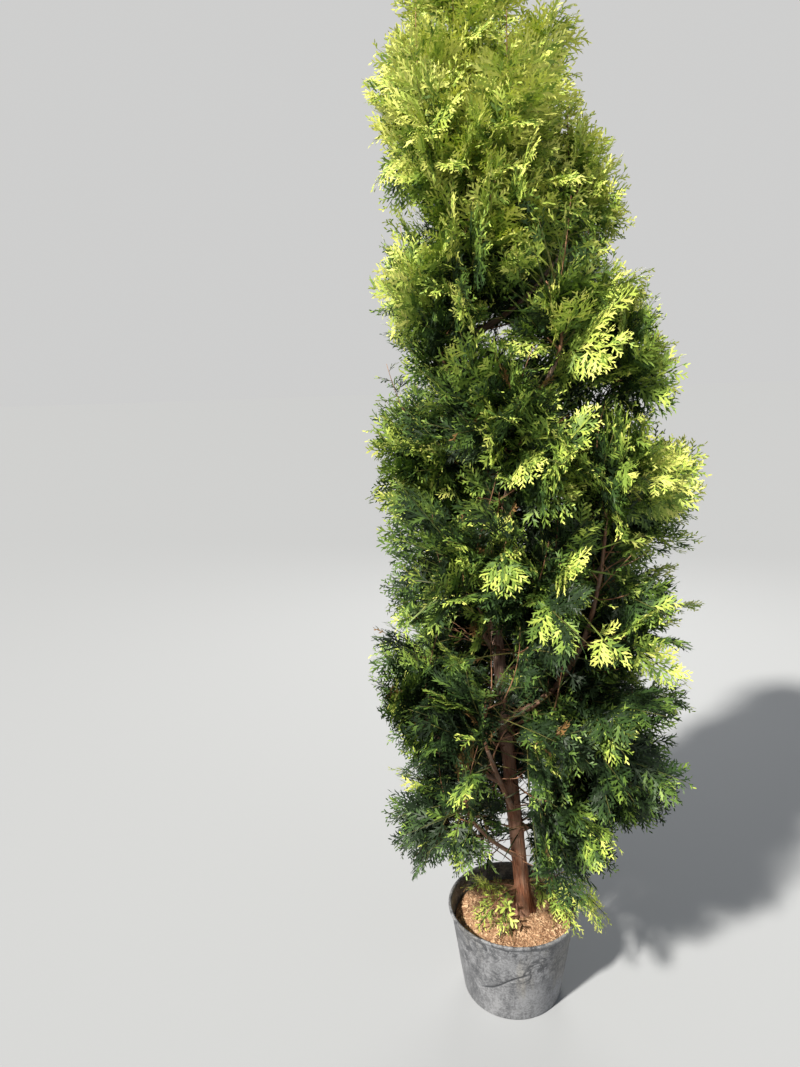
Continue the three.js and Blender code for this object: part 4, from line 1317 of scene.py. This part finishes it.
# The trunk's paler colour above half a metre is partly its greyer upper bark and partly painted light: the
# upper trunk made paler, as if in sun, where the foliage shades it
TRUNK_BARK = material("trunk bark", bark, "UV", None, 0.9, 0.0012, 0.25, {
    "Strip": (0.40, 0.165, 0.088), "Furrow": (0.070, 0.026, 0.016), "Weathered": (0.43, 0.25, 0.17),
    "Young sunlit": (0.47, 0.37, 0.31), "Young from": 0.50, "Fineness": 1.0,
})
BOUGH_BARK = material("bough bark", bark, "UV", None, 0.7, 0.0006, 0.25, {
    "Strip": (0.43, 0.22, 0.13), "Furrow": (0.13, 0.062, 0.042), "Weathered": (0.46, 0.36, 0.28),
    "Young sunlit": (0.45, 0.32, 0.24), "Young from": 0.15, "Fineness": 1.9,
})
TWIG_SKIN = material("twig skin", mottling, "Object", 0.7, 0.4, 0.0004, 0.4, {
    "Light": (0.42, 0.22, 0.12), "Dark": (0.17, 0.075, 0.04), "Broad": 45.0, "Fine": 420.0,
})
STALK_SKIN = material("stalk skin", mottling, "Object", 0.65, 0.3, 0.0003, 0.4, {
    "Light": (0.19, 0.17, 0.04), "Dark": (0.10, 0.10, 0.025), "Broad": 60.0, "Fine": 500.0,
})
POT_PLASTIC = material("pot plastic", plastic, "Object", None, 0.3, 0.0003, 0.4, {
    "Plastic": (0.040, 0.042, 0.048), "Dust": (0.295, 0.301, 0.317), "Silt": (0.34, 0.325, 0.295),
    "Amount": 0.94,
})
SOIL_TOP = material("potting soil", mottling, "Object", 0.95, 1.0, 0.003, 0.1, {
    "Light": (0.62, 0.37, 0.21), "Dark": (0.11, 0.046, 0.025), "Broad": 17.0, "Fine": 260.0,
})
COIR = material("coir crumbs", mottling, "Object", 0.95, 0.6, 0.001, 0.1, {
    "Light": (0.80, 0.56, 0.35), "Dark": (0.20, 0.090, 0.045), "Broad": 60.0, "Fine": 420.0,
})


def leaf_skin(name, tone):
    """A leaf's material: its tone mottled a little lighter and darker."""
    light, dark = (tuple(min(1.0, level * share) for level in tone) for share in (1.10, 0.86))
    return material("leaf " + name, mottling, "Object", 0.52, 0.25, 0.0003, 0.35, {
        "Light": light, "Dark": dark, "Broad": 120.0, "Fine": 900.0,
    })


LEAF_SKINS = {name: leaf_skin(name, tone) for name, tone in LEAF_TONES.items()}


# Trunk and boughs
def trunk_piece():
    """The trunk by turn and height: its taper and flare, three buttresses, long warped ridges of bark,
    a finer grain between them, plates, and a collar where each bough leaves it."""
    share = np.linspace(0, 1, TRUNK_ROWS)[:, None]
    turn = (np.arange(TRUNK_SIDES) / TRUNK_SIDES * 2 * np.pi)[None, :]
    height = TRUNK_FOOT + (TRUNK_TIP - TRUNK_FOOT) * share
    radius = trunk_radius(share)
    fade = np.exp(-share * (TRUNK_TIP - TRUNK_FOOT) / FLARE_HEIGHT)
    count, stand, first = BUTTRESSES
    buttress = 1 + stand * fade * np.cos(count * turn - first)
    (swing, swing_height), (push, *push_patches) = BARK_SWING, BARK_PUSH
    level = turn / (2 * np.pi)
    around = level + swing * np.sin(height / swing_height) + BARK_TWIST * height

    def bark_patches(around, tall, count, seed):
        """Noise whose patches are so tall, and so many round the trunk."""
        return patches(around, height / tall, count, seed)

    around = around + push * (bark_patches(level, *push_patches) - 0.5)
    around = around % 1
    (*ridges, ridge_high), (*grains, grain_high), (*plates, plate_high) = BARK_RIDGES, BARK_GRAIN, BARK_PLATES
    ridge = 1 - np.abs(2 * bark_patches(around, *ridges) - 1)
    grain = 1 - np.abs(2 * bark_patches(around, *grains) - 1)
    plate = np.clip((bark_patches(around, *plates) - 0.46) * 7, 0, 1)
    size = np.clip(radius / TRUNK_RADIUS, 0.12, 1.2)
    relief = size * (ridge_high * ridge**1.4 + grain_high * grain + plate_high * plate - BARK_SUNK)
    collars = np.zeros_like(relief)
    collar_high, half_wide, half_tall, above = COLLAR
    for foot, _, azimuth, _, _, limb, _ in BOUGHS.values():
        gap = (turn - math.radians(azimuth) + np.pi) % (2 * np.pi) - np.pi
        rise = (height - foot - limb * above) / (limb * half_tall)
        collars = collars + collar_high * np.exp(-((gap * radius / (limb * half_wide)) ** 2 + rise**2))
    full = radius * buttress + relief + collars
    rings = trunk_axis(share[:, 0])[:, None, :] + round_way(turn) * full[..., None]
    points, faces, spread = lofted(rings[None], np.array([TRUNK_RADIUS * 2 * np.pi]), height.T)
    piece("trunk_bark", points, faces, TRUNK_BARK, ["trunk"], True, spread)


def bough_piece():
    """Boughs and side stem as tubes: a straight taper, a collar that dies away from the trunk,
    shallow ridges along them and small scars where old twigs were."""
    parts = []
    turn = np.arange(BOUGH_SIDES) / BOUGH_SIDES
    angle = (turn * 2 * np.pi)[:, None]
    for number, (name, (curve, root_radius, tip_radius)) in enumerate(boughs.items()):
        length = np.linalg.norm(curve[1] - curve[0]) + np.linalg.norm(curve[2] - curve[1])
        share = np.linspace(0, 1, int(length / BOUGH_RING_GAP) + 2)[None, :]
        heading = heading_on(curve[None, None], share)
        first, second = ring_ways(heading, unit(curve[2] - curve[0])[None, None])
        along = (share * length)[..., None]
        thicker, dies = BOUGH_COLLAR
        collar = 1 + thicker * np.exp(-np.maximum(along - TRUNK_RADIUS, 0) / dies)
        if name in ("bough_right_rise", "side_stem"):
            collar = 1
        around = turn + 0 * along
        ridges = patches(around, along / 38, 7, 30 + number)
        scars = patches(around, along / 11, 3, 60 + number) ** 6
        radius = root_radius + (tip_radius - root_radius) * share[..., None]
        radius = radius * collar * (0.9 + 0.2 * ridges) + 1.1 * scars
        offset = first[:, :, None] * np.cos(angle) + second[:, :, None] * np.sin(angle)
        rings = bezier(curve[None, None], share)[:, :, None] + offset * radius[..., None]
        if name == "side_stem":
            rings[..., 2] = np.maximum(rings[..., 2], TRUNK_FOOT)
        parts.append(lofted(rings, np.array([root_radius * 2 * np.pi]), share * length))
    points, faces, spread = joined(parts)
    piece("bough_bark", points, faces, BOUGH_BARK, list(boughs), True, spread)


# Pot and soil
def revolved(profile, sides, shape):
    """A closed profile of radius and height turned round Z, each point then moved by shape."""
    profile = np.array(profile, float)
    turn = np.arange(sides) / sides * 2 * np.pi
    radius, height = shape(turn[None, :], profile[:, :1], profile[:, 1:])
    rings = np.stack([np.cos(turn) * radius, np.sin(turn) * radius, height + 0 * radius], -1)[None]
    lengths = np.concatenate([[0], np.cumsum(np.linalg.norm(np.diff(profile, axis=0), axis=1))])[None]
    return lofted(rings, np.array([2 * np.pi * profile[:, 0].max()]), lengths)


def steps(start, end, count):
    """Points in equal steps from one point of a profile to the next, without the last."""
    share = np.linspace(0, 1, count + 1)[:-1, None]
    return np.array(start) * (1 - share) + np.array(end) * share


def pot_piece():
    """The pot: a tapering wall with a rolled rim, a step below it, a recessed underside, a wall that
    is a little out of round and one long dent with a crease at its lower edge."""
    foot, rim = POT_FOOT_RADIUS, POT_RIM_RADIUS
    lip = POT_HEIGHT - LIP_DEPTH
    shoulder = foot + POT_SLOPE * lip
    roll = np.linspace(-0.2, 2.6, 10)[:, None]
    inside, inner_foot = shoulder - POT_WALL, foot - POT_WALL
    profile = np.concatenate([
        [(0.4, 1.2)],
        steps((20, 1.2), (foot - 14, 1.2), 6),
        [(foot - 10, 1.0), (foot - 8, 0), (foot - 3, 0), (foot - 0.9, 0.9)],
        steps((foot, 3), (shoulder, lip - 1.5), 92),
        [(shoulder, lip - 1.5), (shoulder + 0.8, lip), (rim - 1.6, lip + 0.8), (rim - 0.9, lip + 2)],
        steps((rim - 0.7, lip + 3), (rim - 0.1, POT_HEIGHT - 5), 4),
        np.hstack([rim - 3.2 + 3.2 * np.cos(roll), POT_HEIGHT - 3.4 + 3.4 * np.sin(roll)]),
        [(inside + 0.8, lip + 3), (inside, lip - 2)],
        steps((inside, lip - 4), (inner_foot, POT_FLOOR + 4), 12),
        [(inner_foot - 3, POT_FLOOR), (0.4, POT_FLOOR)],
    ])

    def shape(turn, radius, height):
        side = radius > 60
        wall = np.clip(height / POT_HEIGHT, 0, 1) * side
        oval = sum(out * wall * np.cos(count * turn + first) for out, count, first in POT_OVALS)
        away = (turn - DENT_TURN + np.pi) % (2 * np.pi) - np.pi
        above = height - (CREASE_HEIGHT + CREASE_RISE * away + CREASE_WAVE * np.sin(away * CREASE_WAVES))
        dent = np.exp(-((away / DENT_SPAN) ** 2)) * np.exp(-(((above - DENT_ABOVE) / DENT_TALL) ** 2))
        crease = np.exp(-((away / CREASE_SPAN) ** 4)) * np.exp(-((above / CREASE_WIDTH) ** 2))
        tall, count, seed, deep = POT_WAVES
        waves = (patches(turn / (2 * np.pi), height / tall, count, seed) - 0.5) * deep * side * (height > 6)
        return radius + oval - (DENT_DEPTH * dent + CREASE_DEPTH * crease) * side + waves, height

    points, faces, spread = revolved(profile, POT_SIDES, shape)
    piece("pot_shell", points, faces, POT_PLASTIC, ["pot"], True, spread)


def soil_height(x, y):
    """The soil's surface: a low mound at the trunk, lumps of three sizes, and a dip beside the wall."""
    lumps = 0
    for height, size, cells, seed in SOIL_LUMPS:
        lumps += height * (patches((x + 300) / 600, (y + 300) / size, cells, seed) - 0.5)
    mound = 3 * np.exp(-((np.hypot(x - TRUNK_FOOT_X, y - TRUNK_FOOT_Y) / 38) ** 2))
    dip = 5 * np.clip((np.hypot(x, y) - SOIL_FLAT_RADIUS) / 26, 0, 1)
    return SOIL_LEVEL + SOIL_CROWN + 1.5 + lumps + mound - dip


def soil_piece():
    """The soil: a plug in the pot, narrower below its surface, under the lumpy surface of soil_height."""
    inner = POT_FOOT_RADIUS - POT_WALL - 1.4
    rim = inner + POT_SLOPE * (SOIL_LEVEL + 2)
    low, high = inner - DENT_ROOM, rim - DENT_ROOM - 1
    profile = np.concatenate([
        [(0.4, POT_FLOOR + 1), (low, POT_FLOOR + 1)],
        steps((low + 1, POT_FLOOR + 8), (high, SOIL_LEVEL - 12), 4),
        [(high, SOIL_LEVEL - 12), (rim, SOIL_LEVEL)],
        steps((rim, SOIL_LEVEL + 1), (0.4, SOIL_LEVEL + 2), 96),
        [(0.4, SOIL_LEVEL + 2)],
    ])

    def shape(turn, radius, height):
        surface = soil_height(np.cos(turn) * radius, np.sin(turn) * radius)
        return radius + 0 * turn, np.where(height > SOIL_LEVEL + 0.5, surface, height)

    points, faces, spread = revolved(profile, SOIL_SIDES, shape)
    piece("soil_bed", points, faces, SOIL_TOP, ["soil"], True, spread)


def crumb_piece():
    """Crumbs and fibres on the soil: small lopsided double pyramids, some drawn out into splinters."""
    order = np.arange(CRUMBS)

    def draw(use):
        return chance(order, use, 1, 1)

    radial, turn = CRUMB_RADIUS * np.sqrt(draw(1)), 2 * np.pi * draw(2)
    x, y = radial * np.cos(turn), radial * np.sin(turn)
    least, more, power = CRUMB_SIZES
    size = least + more * draw(3) ** power
    long = 1 + np.where(draw(4) > SPLINTER_FROM, SPLINTER_STRETCH, CRUMB_STRETCH) * draw(5)
    heading = 2 * np.pi * draw(6)
    first = np.stack([np.cos(heading), np.sin(heading), about(0, 0.28, draw(7))], -1)
    second = unit(np.cross(UP, first))
    third = np.cross(first, second)
    thin = size / long**0.6
    middle = np.stack([x, y, soil_height(x, y) + thin * 0.35], -1)
    reach = first * np.minimum(size * long, CRUMB_RADIUS + 3 - radial)[:, None]
    wide, tall = second * (thin * 0.9)[:, None], third * (thin * 0.7)[:, None]
    offsets = (reach, wide, -reach * 0.8, -wide * 0.8, tall, -tall)
    corners = np.stack([middle + offset for offset in offsets], 1)
    pattern = np.array([0, 1, 4, 1, 2, 4, 2, 3, 4, 3, 0, 4, 1, 0, 5, 2, 1, 5, 3, 2, 5, 0, 3, 5])
    faces = (order[:, None] * 6 + pattern).reshape(-1, 3)
    piece("soil_crumbs", corners.reshape(-1, 3), [faces], COIR, ["soil"])


# Foliage
twigs, main_buds = twig_growth()
fillers = filler_curves()
whips, whip_sprays = whip_growth(twigs)


def all_sprays():
    """The main stalks of the source's sprays, the extra ones and the whips' own. Those at the trunk's
    foot that cross the trunk in the viewer's eye are left out."""
    reach = spray_lengths[main_buds["mass"]]
    rule = (SPRAY_SIZES, SPRAY_TRIES, 2 * SPACE_CLEARANCE, np.ones(len(reach)), MAIN_MARGIN)
    main = axes_of(main_buds, *fitted(main_buds, reach, *rule))
    buds, reach = extra_buds(twigs)
    outer = np.where(chance(buds["number"], buds["mass"], 9, 8) < LONG_SHARE, LONG_SPREAD, EXTRA_SPREAD)
    extra = axes_of(buds, *fitted(buds, reach, EXTRA_SIZES, EXTRA_TRIES, -EXTRA_SLACK, outer, EXTRA_MARGIN))
    every = {key: np.concatenate([main[key], extra[key], whip_sprays[key]]) for key in main}
    rows = np.arange(len(every["mass"]))
    places = [on_axis(every, rows, np.full(len(rows), share))[0] for share in (0.4, 0.7, 1.0)]
    crossing = np.any([hides_trunk(place, 4) for place in places], axis=0)
    return only(every, ~(np.isin(every["mass"], foot_masses) & crossing))


sprays = all_sprays()
at_foot = np.isin(sprays["mass"], foot_masses)
foliage_nodes = [name for name in frame["nodes"] if name.startswith("foliage_")]
BRIGHT, GOLD, BRONZE = (list(LEAF_TONES).index(name) for name in ("bright", "gold", "bronze"))


def depth_of(points):
    """How far out points are: 0 at the crown's middle line and 1 at its outline."""
    middle, radius = crown_at(points[:, 2])
    return np.hypot(points[:, 0] - middle, points[:, 1]) / np.maximum(radius, 60)


def tone_of(axes, spray_key):
    """Which leaf tone a side spray takes: brighter higher up, further out, to the right, nearer its
    spray's tip and by chance. Brighter to the right is painted light. Higher up and further out are
    partly fresher growth and partly painted light and shade: the top and outside lit, the lower and
    inner foliage shaded."""
    tips = axes["root"] + axes["way"] * axes["length"][:, None]
    rise = np.interp(tips[:, 2], *np.array(HEIGHT_TONE).T)
    # Painted light: the crown's right side (+X) brighter and its left side darker, as if shaded
    painted_side_light = TONE_PAINTED_SIDE_LIGHT * np.clip(tips[:, 0] / 250, -1, 1)
    score = rise + TONE_OUT * np.clip(depth_of(tips), 0, 1.1) + TONE_TIP * axes["tip"] + TONE_BASE + painted_side_light
    score = score + about(0, TONE_SPRAY_CHANCE, chance(spray_key, 3, 5, 7))
    score = score + about(0, TONE_SIDE_CHANCE, chance(axes["key"], 1, 5, 7))
    bronze = (chance(axes["key"], 2, 9, 7) < BRONZE_SHARE) & (tips[:, 2] < BRONZE_TOP)
    return np.where(bronze, BRONZE, np.searchsorted(np.array(TONE_STEPS), score))


def side_axes():
    """The side sprays of all sprays, thinned where they hide the foot, the bare boughs or the sun."""
    inner = depth_of(sprays["root"] + sprays["way"] * (sprays["length"] * 0.6)[:, None]) < INNER_DEPTH
    inner &= sprays["root"][:, 2] < INNER_TOP
    side = offshoots(sprays, gaps_on(sprays["length"], inner, *SIDE_GAPS), SIDE_RULE)
    own = side["parent"]
    small = at_foot[own]
    side["tone"] = tone_of(side, sprays["key"][own])
    # Partly painted light: the foot's shoots are set bright, and gold past their root, though the crown
    # shades them
    side["tone"] = np.where(small & (side["tone"] < BRONZE), BRIGHT + (side["tip"] > 0.3), side["tone"])
    side["inner"] = inner[own]
    side["slim"] = np.where(small, FOOT_SLIM, 1.0)
    side["length"] = np.where(small, side["length"] * FOOT_FAN, side["length"])
    ends = side["root"] + side["way"] * (side["length"] * 0.8)[:, None]
    middle = (side["root"] + ends) / 2
    spots = (ends, middle, side["root"])
    hides = hides_foot(ends) | hides_foot(side["root"])
    hidden = hides & ~small & (chance(sprays["key"][own], 6, 2, 7) > BARE_KEPT)
    hidden |= small & (hides_trunk(ends, 6) | hides_trunk(middle, 6))
    hides = np.any([hides_limb(spot, LIMB_MARGIN) for spot in spots], axis=0)
    hidden |= hides & (chance(side["key"], 6, 3, 7) > LIMB_KEPT)
    hides = np.any([shades_trunk(spot) for spot in spots], axis=0)
    hidden |= hides & ~small & (chance(side["key"], 6, 5, 7) > SUN_KEPT)
    return only(side, allowed(side["root"]) & (side["length"] > 6) & ~hidden)


def outer_stalks():
    """The leafy stalk of each spray, from where it clears its twig to its tip."""
    stalk = dict(sprays)
    stalk["tone"] = np.minimum(tone_of(sprays, sprays["key"]), BRIGHT)
    stalk["root"], _, _ = on_axis(sprays, np.arange(len(at_foot)), np.full(len(at_foot), 0.3))
    stalk["way"] = sprays["way"] + sprays["bend"] * 0.6
    stalk["bend"] = sprays["bend"] * 0.7
    stalk["length"] = sprays["length"] * 0.7
    ends = sprays["root"] + (sprays["way"] + sprays["bend"]) * sprays["length"][:, None]
    return only(stalk, allowed(ends) & ~(hides_foot(ends) & ~at_foot))


def finger_axes(side):
    """The fingers of the side sprays. Their tones are their side spray's, brighter at its tip and
    darker at its root."""
    finger = offshoots(side, gaps_on(side["length"], side["inner"], *FINGER_GAPS), FINGER_RULE)
    middle = finger["root"] + finger["way"] * (finger["length"] * 0.5)[:, None]
    hides = hides_limb(middle, FINGER_MARGIN) & (chance(finger["key"], 6, 4, 7) > LIMB_KEPT)
    finger = only(finger, ~hides)
    own = finger["parent"]
    finger["coarse"] = side["inner"][own]
    stretch = np.where(finger["coarse"], COARSE_STRETCH, FINGER_STRETCH)
    finger["length"] = np.clip(finger["length"] * stretch, *FINGER_LENGTHS)
    wider = np.where(finger["coarse"], COARSE_WIDTH, side["slim"][own])
    finger["wide"] = width_of(finger, FINGER_WIDTHS) * wider

    def draw(use):
        return chance(finger["key"], use, 1, 7)

    tone = side["tone"][own]
    fresher = (finger["tip"] > FRESHER[0]) & (draw(4) < FRESHER[1])
    older = finger["tip"] < OLDER[0]
    change = fresher * 1 - older * (draw(5) < OLDER[1]) - older * (draw(7) < OLDER[2]) - (draw(8) < DARKER)
    finger["tone"] = np.where(tone <= GOLD, np.clip(tone + change, 0, GOLD), tone)
    return finger


def tooth_axes(finger):
    """The teeth of the longer fingers that aren't coarse, in their finger's tone."""
    toothed = only(finger, (finger["length"] > TOOTHED_FROM) & ~finger["coarse"])
    tooth = offshoots(toothed, TOOTH_GAP, TOOTH_RULE)
    tooth["tone"] = toothed["tone"][tooth["parent"]]
    tooth["length"] = np.clip(tooth["length"] * TOOTH_STRETCH, *TOOTH_LENGTHS)
    return tooth


def width_of(axes, rule):
    """A share of each axis's length, within limits."""
    share, least, most = rule
    return np.clip(axes["length"] * share, least, most)


def foliage_pieces():
    """All leaves as strips, one piece for each tone, or several where a tone has many. The side sprays'
    own strips are one tone darker than their fingers."""
    stalk, side = outer_stalks(), side_axes()
    finger = finger_axes(side)
    tooth = tooth_axes(finger)
    side["tone"] = np.where(side["tone"] <= GOLD, np.maximum(side["tone"] - 1, 0), side["tone"])
    leaves = []
    for axes, widths, bands in (
        (stalk, np.full(len(stalk["length"]), STALK_WIDTH), STALK_STRIP),
        (side, width_of(side, SIDE_WIDTHS), STALK_STRIP),
        (finger, finger["wide"], FINGER_STRIP),
        (tooth, width_of(tooth, TOOTH_WIDTHS), TOOTH_STRIP),
    ):
        spots, pattern = strips(axes, widths, bands)
        keep = allowed(spots.mean(1)) & allowed(spots[:, -1])
        leaves.append((spots[keep], pattern, axes["tone"][keep]))
    for tone, name in enumerate(LEAF_TONES):
        points, faces, first = [], [], 0
        for spots, pattern, tones in leaves:
            some = spots[tones == tone]
            corners = some.shape[1]
            points.append(some.reshape(-1, 3))
            faces.append((np.arange(len(some))[:, None, None] * corners + pattern).reshape(-1, 3) + first)
            first += len(some) * corners
        points, faces = np.concatenate(points), np.concatenate(faces)
        pieces = max(1, -(-len(faces) // PIECE_TRIANGLES))
        for number, part in enumerate(np.array_split(faces, pieces)):
            used, numbers = np.unique(part, return_inverse=True)
            label = f"leaves_{name}_{number + 1}"
            piece(label, points[used], [numbers.reshape(-1, 3)], LEAF_SKINS[name], foliage_nodes)


def even_stalks(curves, root_radius, tip_radius, rows, sides):
    """Stalks that all have the same two radii."""
    return stalks(curves, np.full(len(curves), root_radius), np.full(len(curves), tip_radius), rows, sides)


def twig_piece():
    """The stems of the masses, their twigs, the whips and the fillers, as tapering tubes."""
    root, tip = twigs["root"], twigs["tip"]
    points, faces, _ = joined([
        stalks(stem_curves, stem_radii, np.full(len(stems), 1.5), 26, 7),
        even_stalks(np.stack([root, (root + tip) / 2 + UP * 2, tip], 1), TWIG_RADIUS, 0.9, 6, 5),
        even_stalks(whips, WHIP_RADIUS, 0.5, 9, 5),
        even_stalks(fillers, FILLER_RADIUS, 1.0, 16, 6),
    ])
    piece("twigs", points, faces, TWIG_SKIN, foliage_nodes, True)


def bare_twig_piece():
    """Leafless twigs on the lower trunk and boughs: each leaves its limb at a slant, curves up or down
    and carries two side twigs. Those in a limb's way or outside the crown are left out."""
    order = np.arange(BARE_ON_TRUNK)
    height = spaced((BARE_FROM, BARE_TO - BARE_FROM), order, BARE_ON_TRUNK, chance(order, 1, 1, 9))
    trunk_roots = trunk_axis(trunk_share(height))
    rise = about(0.5, 0.5, chance(order, 2, 1, 9))
    trunk_ways = round_way(order * GOLDEN_TURN + 0.4) + UP * rise[:, None]
    curves = np.array([curve for curve, _, _ in boughs.values() if curve[0, 2] < BARE_TO])
    owner, place = runs(len(curves), BARE_ON_BOUGH)
    order = np.arange(len(owner))
    share = spaced((0.25, 0.6), place, BARE_ON_BOUGH, chance(order, 3, 1, 9))
    bough_roots, heading = bezier(curves[owner], share), heading_on(curves[owner], share)
    slant = np.stack([about(0, 1, chance(order, use, 2, 9)) for use in (1, 2, 3)], -1)
    roots = np.concatenate([trunk_roots, bough_roots])
    ways = unit(np.concatenate([unit(trunk_ways), unit(heading + 1.1 * slant)]))
    number = np.arange(len(roots))
    length = about(95, 45, chance(number, 4, 1, 9))
    bow = [about(middle, spread, chance(number, use, 3, 9)) for use, middle, spread in BARE_BOW]
    middles = roots + ways * (length * 0.5)[:, None]
    tips = middles + unit(ways + np.stack(bow, -1)) * (length * 0.5)[:, None]
    first = np.stack([roots, middles, tips], 1)
    sides, radii = [first], [np.full(len(first), 1.5)]
    for place, hand in ((0.45, 1.0), (0.7, -1.0)):
        spot, way = (curve_at(first, np.full(len(first), place)) for curve_at in (bezier, heading_on))
        slant = np.stack([about(0, 1, chance(number, place, use, 9)) for use in (4, 5, 6)], -1)
        level = unit(np.cross(way, UP) + 0.4 * slant)
        tip = spot + unit(way + level * hand) * (length * 0.42)[:, None]
        sides.append(np.stack([spot, (spot + tip) / 2 + UP * 3 * hand, tip], 1))
        radii.append(np.full(len(first), 0.9))
    every, radius = np.concatenate(sides), np.concatenate(radii)
    good = allowed(bezier(every, np.full(len(every), 0.35))) & allowed(every[:, 2])
    points, faces, _ = stalks(every[good], radius[good], radius[good] * 0.45, 7, 5)
    piece("bare_twigs", points, faces, TWIG_SKIN, list(boughs), True)


def stalk_piece():
    """The main stalk of every spray, as a thin three-sided tube that thins to its tip."""
    length = sprays["length"][:, None]
    root = sprays["root"]
    tip = root + length * (sprays["way"] + sprays["bend"])
    curves = np.stack([root, root + length * sprays["way"] / 2, tip], 1)
    middle = bezier(curves, np.full(len(curves), 0.5))
    good = allowed(tip) & allowed(middle) & ~(hides_foot(tip) & ~at_foot)
    thick = np.clip(sprays["length"] / 130, 0.6, 1.3)[good]
    points, faces, _ = stalks(curves[good], thick, thick * 0.3, 5, 3)
    piece("spray_stalks", points, faces, STALK_SKIN, foliage_nodes, True)


for make in (
    trunk_piece, bough_piece, pot_piece, soil_piece, crumb_piece, twig_piece, bare_twig_piece, stalk_piece,
    foliage_pieces,
):
    make()


# Floor, light and camera, in metres. The world's light from all round, and the backdrop and floor as the
# camera sees them
AROUND = (0.88, 0.93, 1.0, 1)
AROUND_STRENGTH = 0.25
BACKDROP = (0.62, 0.62, 0.615, 1)
FLOOR = (0.372, 0.385, 0.405, 1)
FLOOR_HALF = 60.0
# The sun's spread in degrees, its strength and its colour
SUN_LIGHT = (4, 6.6, (1.0, 0.955, 0.87))
# Round soft lights: where each stands, the height it is aimed at, its size, power and colour
SOFT_LIGHTS = {
    "fill": ((2.8, -2.4, 2.1), 1.0, 2.4, 11, (0.90, 0.95, 1.0)),
    "back": ((0.8, 3.0, 2.8), 1.5, 1.8, 50, (1.0, 0.97, 0.9)),
}
# The camera stands at the photograph's eye. Its tilt down, roll and focal length, in degrees and in pixels
# of the photograph, are those that put the pot, the trunk and the crown where they are seen.
CAMERA_TILT = 12.01
CAMERA_ROLL = -1.925
FOCAL_PIXELS = 735.1
PHOTO_HEIGHT = 1067
SENSOR = 36.0


def floor():
    """A level pale floor under the pot."""
    mesh = bpy.data.meshes.new("floor")
    corners = [(x * FLOOR_HALF, y * FLOOR_HALF, 0) for x, y in ((-1, -1), (1, -1), (1, 1), (-1, 1))]
    mesh.from_pydata(corners, [], [(0, 1, 2, 3)])
    plain = bpy.data.materials.new("pale floor")
    plain.use_nodes = True
    shader = plain.node_tree.nodes["Principled BSDF"]
    shader.inputs["Base Color"].default_value = FLOOR
    shader.inputs["Roughness"].default_value = 0.9
    mesh.materials.append(plain)
    placed("floor", mesh)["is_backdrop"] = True


def sun():
    """A light from far off, softened by its spread."""
    light = bpy.data.lights.new("key", "SUN")
    spread, light.energy, light.color = SUN_LIGHT
    light.angle = math.radians(spread)
    made = placed("key", light)
    made.rotation_euler = (math.radians(90 - SUN_ELEVATION), 0, math.radians(SUN_AZIMUTH + 90))


def soft_light(name, place, height, size, power, colour):
    """A round light at a place, turned to a height above the pot."""
    light = bpy.data.lights.new(name, "AREA")
    light.shape = "DISK"
    light.size, light.energy, light.color = size, power, colour
    made = placed(name, light)
    x, y, z = place
    made.location = place
    made.rotation_euler = (math.atan2(math.hypot(x, y), z - height), 0, math.atan2(x, -y))


def studio():
    """Soft light from all round, with a backdrop as pale as the lit floor where the camera sees past it."""
    world = bpy.data.worlds.new("studio")
    world.use_nodes = True
    tree = world.node_tree
    around, end = tree.nodes["Background"], tree.nodes["World Output"]
    around.inputs["Color"].default_value = AROUND
    around.inputs["Strength"].default_value = AROUND_STRENGTH
    behind = node(tree, "ShaderNodeBackground", [("Color", BACKDROP), ("Strength", 1.0)])
    seen = node(tree, "ShaderNodeLightPath").outputs["Is Camera Ray"]
    shown = node(tree, "ShaderNodeMixShader", [(0, seen), (1, around.outputs[0]), (2, behind.outputs[0])])
    tree.links.new(shown.outputs[0], end.inputs["Surface"])
    bpy.context.scene.world = world


def photograph_camera():
    """The camera: it looks along Y, tilted down, and is rolled about where it looks."""
    camera = bpy.data.cameras.new("camera")
    camera.sensor_width = SENSOR
    camera.lens = SENSOR * FOCAL_PIXELS / PHOTO_HEIGHT
    camera.clip_start = 0.05
    tilt, roll = math.radians(CAMERA_TILT), math.radians(CAMERA_ROLL)
    forward = np.array([0.0, math.cos(tilt), -math.sin(tilt)])
    upright = np.array([0.0, math.sin(tilt), math.cos(tilt)])
    matrix = np.eye(4)
    matrix[:3, 0] = math.cos(roll) * EAST + math.sin(roll) * upright
    matrix[:3, 1] = -math.sin(roll) * EAST + math.cos(roll) * upright
    matrix[:3, 2] = -forward
    matrix[:3, 3] = VIEWER * MM
    made = placed("camera", camera)
    made.matrix_world = Matrix(matrix.tolist())
    bpy.context.scene.camera = made
    bpy.context.scene.view_settings.view_transform = "Standard"


floor()
sun()
for name, values in SOFT_LIGHTS.items():
    soft_light(name, *values)
studio()
photograph_camera()
